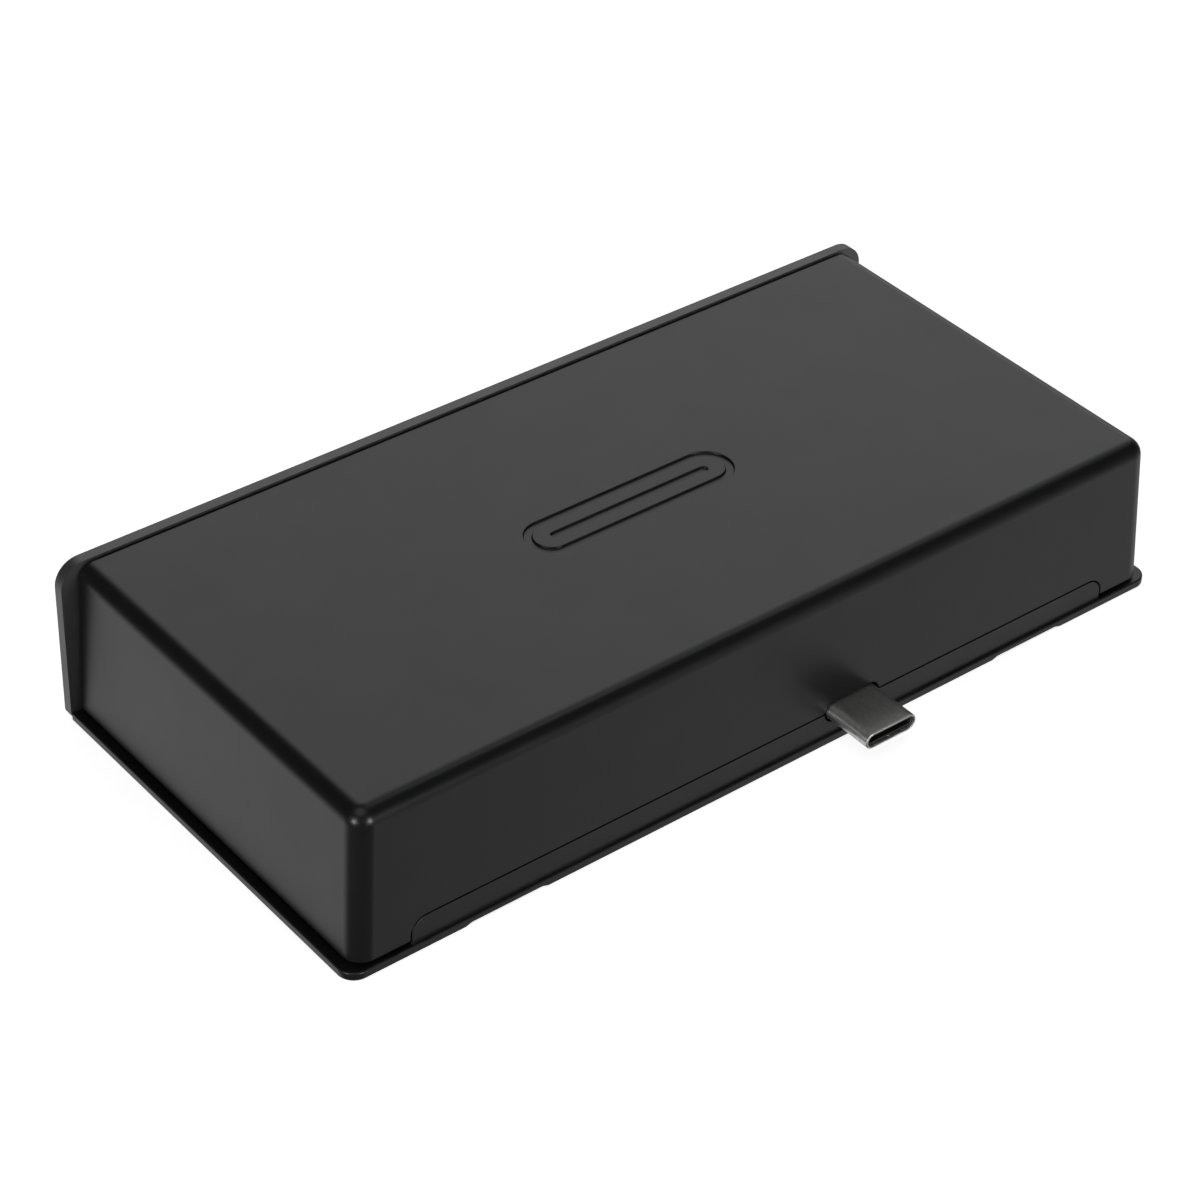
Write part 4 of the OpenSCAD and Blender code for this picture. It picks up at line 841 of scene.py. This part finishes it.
@dataclass
class EdgeCare:
    """A moulding copied from the frame, with wider roundings on some edges than on the rest.

    Attributes:
        node: The CAD node that it stands for.
        name: The piece's name.
        slot: Its finish.
        wide: Width of the wide roundings.
        narrow: Width of the others.
        picks: Says whether an edge, from its two ends, gets the wide rounding.
    """

    node: str
    name: str
    slot: str
    wide: float
    narrow: float
    picks: Callable[[Vector, Vector], bool]

    def build(self, shop: Workshop) -> bpy.types.Object:
        """Builds and dresses the moulding.

        Args:
            shop: Where the finishes come from.

        Returns:
            The moulding's object.
        """
        obj = clean_copy(self.node, self.name)
        self.weigh_edges(obj.data)
        bevel = obj.modifiers.new("rounding", "BEVEL")
        bevel.limit_method = "WEIGHT"
        bevel.width = self.wide
        bevel.segments = 3
        shade_smooth(obj)
        shop.dress(obj, self.slot)
        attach(obj, CASE)
        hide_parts(self.node)
        return obj

    def weigh_edges(self, mesh: bpy.types.Mesh) -> None:
        """Sets each sharp edge's share of the wide rounding.

        Args:
            mesh: The moulding's mesh.
        """
        bm = bmesh.new()
        bm.from_mesh(mesh)
        layer = bm.edges.layers.float.new("bevel_weight_edge")
        for edge in bm.edges:
            if len(edge.link_faces) == 2 and edge.calc_face_angle() > CREASE_ANGLE:
                ends = [v.co for v in edge.verts]
                edge[layer] = 1.0 if self.picks(*ends) else self.narrow / self.wide
        bm.to_mesh(mesh)
        bm.free()


@dataclass
class Casing:
    """The cover, the base tray and the fascia.

    Attributes:
        cover: The cover.
        plate_t: Thickness of the base's visible edge.
        base_corner_r: Radius of the base's rear corners.
        fascia_t: Thickness of the fascia's plate.
        fascia_corner: Side of the square that holds a fascia corner.
        near: How close a point has to lie to count as on a face.
    """

    cover: Cover = field(default_factory=Cover)
    plate_t: float = 1.1 * MM
    base_corner_r: float = 2.3 * MM
    fascia_t: float = 1.5 * MM
    fascia_corner: float = 3.5 * MM
    near: float = 0.05 * MM

    def __post_init__(self) -> None:
        """Takes the mouldings' places from the frame."""
        self.tray_low, self.tray_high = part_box("base_tray")
        self.plate_low, self.plate_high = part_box("fascia")

    def base_edge(self, a: Vector, b: Vector) -> bool:
        """Says whether an edge is the upper rim of the base's plate."""
        return all(abs(p.z - self.plate_t) < self.near and self.on_base_rim(p) for p in (a, b))

    def on_base_rim(self, p: Vector) -> bool:
        """Says whether a point lies on the outline of the base's plate."""
        r = self.base_corner_r
        corner = Vector((math.copysign(self.tray_high.x - r, p.x), self.tray_low.y + r))
        on_side = abs(p.x) > self.tray_high.x - self.near
        on_rear = p.y < self.tray_low.y + self.near
        past_corner = abs(p.x) > abs(corner.x) and p.y < corner.y
        in_corner = past_corner and abs((p.xy - corner).length - r) < self.near
        return on_side or on_rear or in_corner

    def fascia_edge(self, a: Vector, b: Vector) -> bool:
        """Says whether an edge runs round the fascia's plate."""
        faces = (self.plate_high.y, self.plate_high.y - self.fascia_t)
        level = any(all(abs(p.y - face) < self.near for p in (a, b)) for face in faces)
        return level and all(self.on_fascia_rim(p) for p in (a, b))

    def on_fascia_rim(self, p: Vector) -> bool:
        """Says whether a point lies on the outline of the fascia's plate."""
        low, high = self.plate_low, self.plate_high
        on_side = abs(p.x) > high.x - self.near
        on_end = p.z > high.z - self.near or p.z < low.z + self.near
        by_side = abs(p.x) > high.x - self.fascia_corner
        by_end = p.z > high.z - self.fascia_corner or p.z < low.z + self.fascia_t / 2
        return on_side or on_end or (by_side and by_end)

    def build(self, shop: Workshop) -> list[bpy.types.Object]:
        """Builds and dresses the three mouldings.

        Args:
            shop: Where the finishes come from.

        Returns:
            The three objects.
        """
        tray = EdgeCare("base_tray", "base_moulding", "base_black", 0.36 * MM, 0.12 * MM, self.base_edge)
        fascia = EdgeCare("fascia", "fascia_moulding", "fascia_black", 0.3 * MM, 0.14 * MM, self.fascia_edge)
        return [self.cover.build(shop), tray.build(shop), fascia.build(shop)]


# ---------- plug ----------


@dataclass
class HostPlug:
    """The fixed plug: a drawn shell, its insulator and the ground springs in its mouth.

    Attributes:
        wall: Sheet thickness of the shell.
        rim_r: Rounding of the shell's front rim.
        slot: Width and height of the slot for the socket's tongue.
        core_recess: How far the insulator lies behind the rim.
        spring_xs: Places of the ground springs, from the plug's middle.
        spring_w: Width of a ground spring.
    """

    wall: float = 0.3 * MM
    rim_r: float = 0.16 * MM
    slot: tuple[float, float] = (6.8 * MM, 0.86 * MM)
    core_recess: float = 0.35 * MM
    spring_xs: tuple[float, ...] = (-2.3 * MM, 0.0, 2.3 * MM)
    spring_w: float = 0.62 * MM

    def __post_init__(self) -> None:
        """Takes the plug's place from the frame."""
        self.low, self.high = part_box("plug_shell")
        self.centre = (self.low + self.high) / 2
        self.size = self.high - self.low

    def shell(self) -> bpy.types.Object:
        """Builds the drawn shell with a rounded front rim.

        Returns:
            The shell's object.
        """
        turns = 6
        stations: list[tuple[float, float]] = [(0.0, self.high.y)]
        for i in range(turns + 1):
            a = math.pi / 2 * i / turns
            stations.append((self.rim_r * (1 - math.cos(a)), self.low.y + self.rim_r * (1 - math.sin(a))))
        inner_r = 0.06 * MM
        stations += [(self.wall - inner_r, self.low.y), (self.wall, self.low.y + inner_r)]
        stations.append((self.wall, self.high.y))
        bm = bmesh.new()
        rings = []
        for inset, y in stations:
            outline = stadium(self.size.x - 2 * inset, self.size.z - 2 * inset, 24)
            rings.append([bm.verts.new((u + self.centre.x, y, v + self.centre.z)) for u, v in outline])
        for first, second in zip(rings, rings[1:] + rings[:1]):
            band(bm, first, second)
        shell = linked("plug_drawn_shell", bm)
        shade_smooth(shell, 50)
        return shell

    def insulator(self) -> bpy.types.Object:
        """Builds the insulator, with its slot and the pockets that the springs stand in.

        Returns:
            The insulator's object.
        """
        fit = self.wall + 0.03 * MM
        front = self.low.y + self.core_recess
        outline = stadium(self.size.x - 2 * fit, self.size.z - 2 * fit, 20)
        moved = [(u + self.centre.x, v + self.centre.z) for u, v in outline]
        core = prism("plug_core", moved, lengthwise, front, self.high.y)
        tools = [self.block("slot", 0.0, 0.0, *self.slot, front - 1 * MM, self.high.y + 1 * MM)]
        for side in (-1, 1):
            for x in self.spring_xs:
                tools.append(self.block("pocket", x, side * self.size.z / 2, self.spring_w + 0.3 * MM,
                                        1.1 * MM, front - 1 * MM, front + 2.2 * MM))
        carve(core, tools)
        soften(core, 0.05 * MM, 2)
        return core

    def block(self, name: str, x: float, z: float, width: float, height: float, low: float,
              high: float) -> bpy.types.Object:
        """Builds a straight block about a point in the plug's section."""
        u, v = self.centre.x + x, self.centre.z + z
        outline = [(u - width / 2, v - height / 2), (u + width / 2, v - height / 2),
                   (u + width / 2, v + height / 2), (u - width / 2, v + height / 2)]
        return prism(name, outline, lengthwise, low, high)

    def springs(self) -> bpy.types.Object:
        """Builds the six formed ground springs, three above and three below.

        Returns:
            One object with six separate springs.
        """
        thick = 0.08 * MM
        reach = 1.7 * MM
        crown = 0.3 * MM
        steps = 12
        wall_z = self.size.z / 2 - self.wall - 0.02 * MM
        bm = bmesh.new()
        for side in (-1, 1):
            for x in self.spring_xs:
                rings = []
                for i in range(steps + 1):
                    t = i / steps
                    y = self.low.y + self.core_recess - 0.05 * MM + reach * t
                    z = wall_z - crown * math.sin(math.pi * min(1.0, t * 1.25)) - 0.02 * MM
                    half = self.spring_w / 2 * (0.7 + 0.3 * math.sin(math.pi / 2 * min(1.0, t * 3)))
                    section = [(-half, z), (half, z), (half, z - thick), (-half, z - thick)]
                    rings.append([
                        bm.verts.new((self.centre.x + x + u, y, self.centre.z + side * v)) for u, v in section
                    ])
                for first, second in zip(rings, rings[1:]):
                    band(bm, first, second)
                bm.faces.new(rings[0])
                bm.faces.new(rings[-1])
        springs = linked("plug_ground_springs", bm)
        soften(springs, 0.02 * MM, 2)
        return springs

    def build(self, shop: Workshop) -> list[bpy.types.Object]:
        """Builds and dresses the plug.

        Args:
            shop: Where the finishes come from.

        Returns:
            The plug's objects.
        """
        shell, core, springs = self.shell(), self.insulator(), self.springs()
        for obj, slot in ((shell, "plug_steel"), (core, "connector_black"), (springs, "socket_steel")):
            shop.dress(obj, slot)
            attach(obj, CASE)
        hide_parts("plug_shell")
        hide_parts("plug_insulator")
        return [shell, core, springs]


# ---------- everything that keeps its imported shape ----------


@dataclass
class FramePieces:
    """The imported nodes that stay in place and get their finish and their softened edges.

    Attributes:
        slots: Each slot's nodes.
        roundings: Width of the rounding for each slot.
        usual_rounding: Width where a slot has none of its own.
    """

    slots: dict[str, tuple[str, ...]] = field(default_factory=lambda: {
        "zinc_steel": ("case_screws", "board_screws", "card_screws", "spreader_screws", "card_pillars"),
        "turned_brass": ("case_inserts",),
        "board_green": ("main_board", "card_board"),
        "connector_black": (
            "plug_carrier", "type_c_tongue", "type_a_tongues", "video_tongue", "network_housing",
            "audio_body", "card_header", "full_card_frame", "micro_card_frame",
        ),
        "contact_gold": (
            "plug_contacts", "type_c_contacts", "type_a_contacts", "video_contacts", "network_contacts",
            "audio_contacts", "full_card_contacts", "micro_card_contacts",
        ),
        "socket_steel": (
            "type_c_shell", "type_a_shell", "video_shell", "network_shield", "full_card_lid",
            "micro_card_lid",
        ),
        "clear_pipe": ("network_light_pipes", "light_pipe"),
        "pusher_nylon": ("full_card_slider", "micro_card_slider"),
        "spring_steel": ("full_card_spring", "micro_card_spring"),
        "chip_epoxy": ("hub_chip", "video_chip", "network_chip", "power_chip", "network_transformer"),
        "thermal_pad": ("thermal_pads",),
        "spreader_aluminium": ("heat_spreader",),
        "ferrite_grey": ("power_inductors",),
        "can_aluminium": ("bulk_capacitors", "crystals"),
        "tan_ceramic": ("chip_capacitors",),
        "lamp_resin": ("status_lamp",),
    })
    roundings: dict[str, float] = field(default_factory=lambda: {
        "contact_gold": 0.02 * MM, "socket_steel": 0.06 * MM, "board_green": 0.08 * MM,
        "tan_ceramic": 0.06 * MM, "spring_steel": 0.0, "connector_black": 0.1 * MM,
    })
    usual_rounding: float = 0.1 * MM

    def build(self, shop: Workshop) -> list[bpy.types.Object]:
        """Dresses each node and rounds its edges.

        Args:
            shop: Where the finishes come from.

        Returns:
            The nodes' objects.
        """
        dressed = []
        for slot, names in self.slots.items():
            width = self.roundings.get(slot, self.usual_rounding)
            for name in names:
                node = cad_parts[name]
                shop.dress(node, slot)
                if width > 0:
                    soften_node(node, width)
                dressed.append(node)
        return dressed


# ---------- studio ----------


@dataclass(frozen=True)
class Glow:
    """One soft panel of the studio, as a round patch of light with a faded rim.

    Attributes:
        towards: Direction from the module to the panel.
        radiance: How bright it is.
        inner: Half angle of its even middle, in degrees.
        outer: Half angle at which it has faded out, in degrees.
    """

    towards: tuple[float, float, float]
    radiance: float
    inner: float
    outer: float


@dataclass
class Studio:
    """The pale floor, the soft panels and the camera.

    Attributes:
        camera_at: The camera's place.
        aim_at: The point that it looks at.
        roll: The camera's roll, in degrees.
        lens: Focal length, in millimetres.
        sensor: Width of the camera's sensor, in millimetres.
        sight: Nearest and farthest distance that the camera sees.
        floor_half: Half the floor's side.
        floor_colour: The floor's colour.
        floor_light: How brightly the floor, a light table, shines by itself.
        floor_mottle: Factor for the darkest fleck of its paper.
        fleck: Size of a fleck.
        floor_drop: How far the floor lies below the module.
        room: Brightness of the room's walls, seen by reflections.
        backdrop: Brightness of the backdrop.
        panels: The soft panels.
    """

    camera_at: tuple[float, float, float] = (-226.2 * MM, -267.4 * MM, 272.55 * MM)
    aim_at: tuple[float, float, float] = (-4.07 * MM, 0.35 * MM, 8.92 * MM)
    roll: float = 2.016
    lens: float = 103.06
    sensor: float = 36.0
    sight: tuple[float, float] = (0.01, 50.0)
    floor_half: float = 3.0
    floor_colour: Colour = (0.86, 0.86, 0.86)
    floor_light: float = 0.8
    floor_mottle: float = 0.995
    fleck: float = 3 * MM
    floor_drop: float = 0.02 * MM
    room: float = 0.04
    backdrop: float = 1.0
    panels: tuple[Glow, ...] = (
        Glow((0.54, 0.64, 0.55), 0.98, 18.0, 36.0),
        Glow((-0.47, 0.65, -0.59), 0.68, 16.0, 34.0),
        Glow((0.74, -0.48, -0.47), 0.46, 12.0, 36.0),
        Glow((0.5, 0.0, 0.86), 1.6, 3.0, 8.0),
        Glow((-0.3, -0.2, 0.93), 0.8, 14.0, 30.0),
        Glow((0.55, 0.55, -0.63), 0.35, 30.0, 62.0),
        Glow((-0.95, -0.27, 0.12), 34.0, 4.0, 7.0),
        Glow((0.08, -0.98, 0.13), 34.0, 4.0, 7.0),
    )

    def floor(self) -> None:
        """Lays the pale light table under the module."""
        bm = bmesh.new()
        half = self.floor_half
        bm.faces.new([bm.verts.new(p) for p in ((-half, -half, 0), (half, -half, 0), (half, half, 0),
                                                (-half, half, 0))])
        floor = linked("floor", bm)
        nodes = NodeTree("floor_paper")
        shader = nodes.add("ShaderNodeBsdfPrincipled")
        shader.inputs["Roughness"].default_value = 0.9
        shader.inputs["Specular IOR Level"].default_value = 0.1
        shader.inputs["Emission Color"].default_value = (1.0, 1.0, 1.0, 1.0)
        shader.inputs["Emission Strength"].default_value = self.floor_light
        paper = nodes.spread(nodes.noise(self.fleck, 4.0), 0.0, 1.0)
        nodes.join(nodes.blend(paper, shade(self.floor_colour, self.floor_mottle), self.floor_colour),
                   shader.inputs["Base Color"])
        nodes.join(shader.outputs["BSDF"], nodes.output.inputs["Surface"])
        floor.data.materials.append(nodes.material)
        floor.location.z = -self.floor_drop
        floor.visible_glossy = False

    def world(self) -> None:
        """Lights the room with its soft panels, with a pale backdrop behind the module."""
        world = bpy.data.worlds.new("studio")
        bpy.context.scene.world = world
        world.use_nodes = True
        tree = world.node_tree
        tree.nodes.clear()
        output = tree.nodes.new("ShaderNodeOutputWorld")
        place = tree.nodes.new("ShaderNodeTexCoord").outputs["Generated"]
        total: bpy.types.NodeSocket | None = None
        for panel in self.panels:
            light = self.panel_light(tree, place, panel)
            total = light if total is None else self.added(tree, total, light)
        mix = tree.nodes.new("ShaderNodeMixShader")
        rays = tree.nodes.new("ShaderNodeLightPath")
        lit = tree.nodes.new("ShaderNodeBackground")
        tree.links.new(self.added(tree, total, self.room), lit.inputs["Strength"])
        pale = tree.nodes.new("ShaderNodeBackground")
        pale.inputs["Strength"].default_value = self.backdrop
        for background, index in ((lit, 1), (pale, 2)):
            background.inputs["Color"].default_value = (1.0, 1.0, 1.0, 1.0)
            tree.links.new(background.outputs[0], mix.inputs[index])
        tree.links.new(rays.outputs["Is Camera Ray"], mix.inputs["Fac"])
        tree.links.new(mix.outputs[0], output.inputs["Surface"])

    def added(self, tree: bpy.types.NodeTree, first: bpy.types.NodeSocket,
              second: bpy.types.NodeSocket | float) -> bpy.types.NodeSocket:
        """Adds a number or a second value to a first."""
        node = tree.nodes.new("ShaderNodeMath")
        node.operation = "ADD"
        tree.links.new(first, node.inputs[0])
        if isinstance(second, float):
            node.inputs[1].default_value = second
        else:
            tree.links.new(second, node.inputs[1])
        return node.outputs[0]

    def panel_light(self, tree: bpy.types.NodeTree, place: bpy.types.NodeSocket,
                    panel: Glow) -> bpy.types.NodeSocket:
        """Gives one panel's radiance in every direction.

        Args:
            tree: The world's node tree.
            place: The direction's socket.
            panel: The panel.

        Returns:
            The radiance's socket.
        """
        facing = tree.nodes.new("ShaderNodeVectorMath")
        facing.operation = "DOT_PRODUCT"
        facing.inputs[1].default_value = Vector(panel.towards).normalized()
        tree.links.new(place, facing.inputs[0])
        fade = tree.nodes.new("ShaderNodeMapRange")
        fade.interpolation_type = "SMOOTHSTEP"
        fade.inputs["From Min"].default_value = math.cos(math.radians(panel.outer))
        fade.inputs["From Max"].default_value = math.cos(math.radians(panel.inner))
        fade.inputs["To Max"].default_value = panel.radiance
        tree.links.new(facing.outputs["Value"], fade.inputs["Value"])
        return fade.outputs["Result"]

    def camera(self) -> None:
        """Sets the camera."""
        data = bpy.data.cameras.new("camera")
        data.lens = self.lens
        data.sensor_width = self.sensor
        data.clip_start, data.clip_end = self.sight
        camera = bpy.data.objects.new("camera", data)
        bpy.context.scene.collection.objects.link(camera)
        place, aim = Vector(self.camera_at), Vector(self.aim_at)
        level = (aim - place).to_track_quat("-Z", "Y").to_matrix()
        roll = Matrix.Rotation(math.radians(self.roll), 3, "Z")
        camera.matrix_world = Matrix.Translation(place) @ (level @ roll).to_4x4()
        bpy.context.scene.camera = camera

    def build(self) -> None:
        """Builds the studio, with true colours and no added contrast."""
        self.floor()
        self.world()
        self.camera()
        bpy.context.scene.view_settings.view_transform = "Standard"
        bpy.context.scene.view_settings.look = "None"


def main() -> None:
    """Builds the studio and every piece, and reports each one."""
    logging.basicConfig(level=logging.INFO, format="%(name)s: %(message)s")
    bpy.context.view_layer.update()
    Studio().build()
    shop = Workshop(FINISHES)
    for maker in (FramePieces(), Casing(), HostPlug()):
        for piece in maker.build(shop):
            LOG.info("%s: %s, %d faces", type(maker).__name__, piece.name, len(piece.data.polygons))


if __name__ == "__main__":
    main()
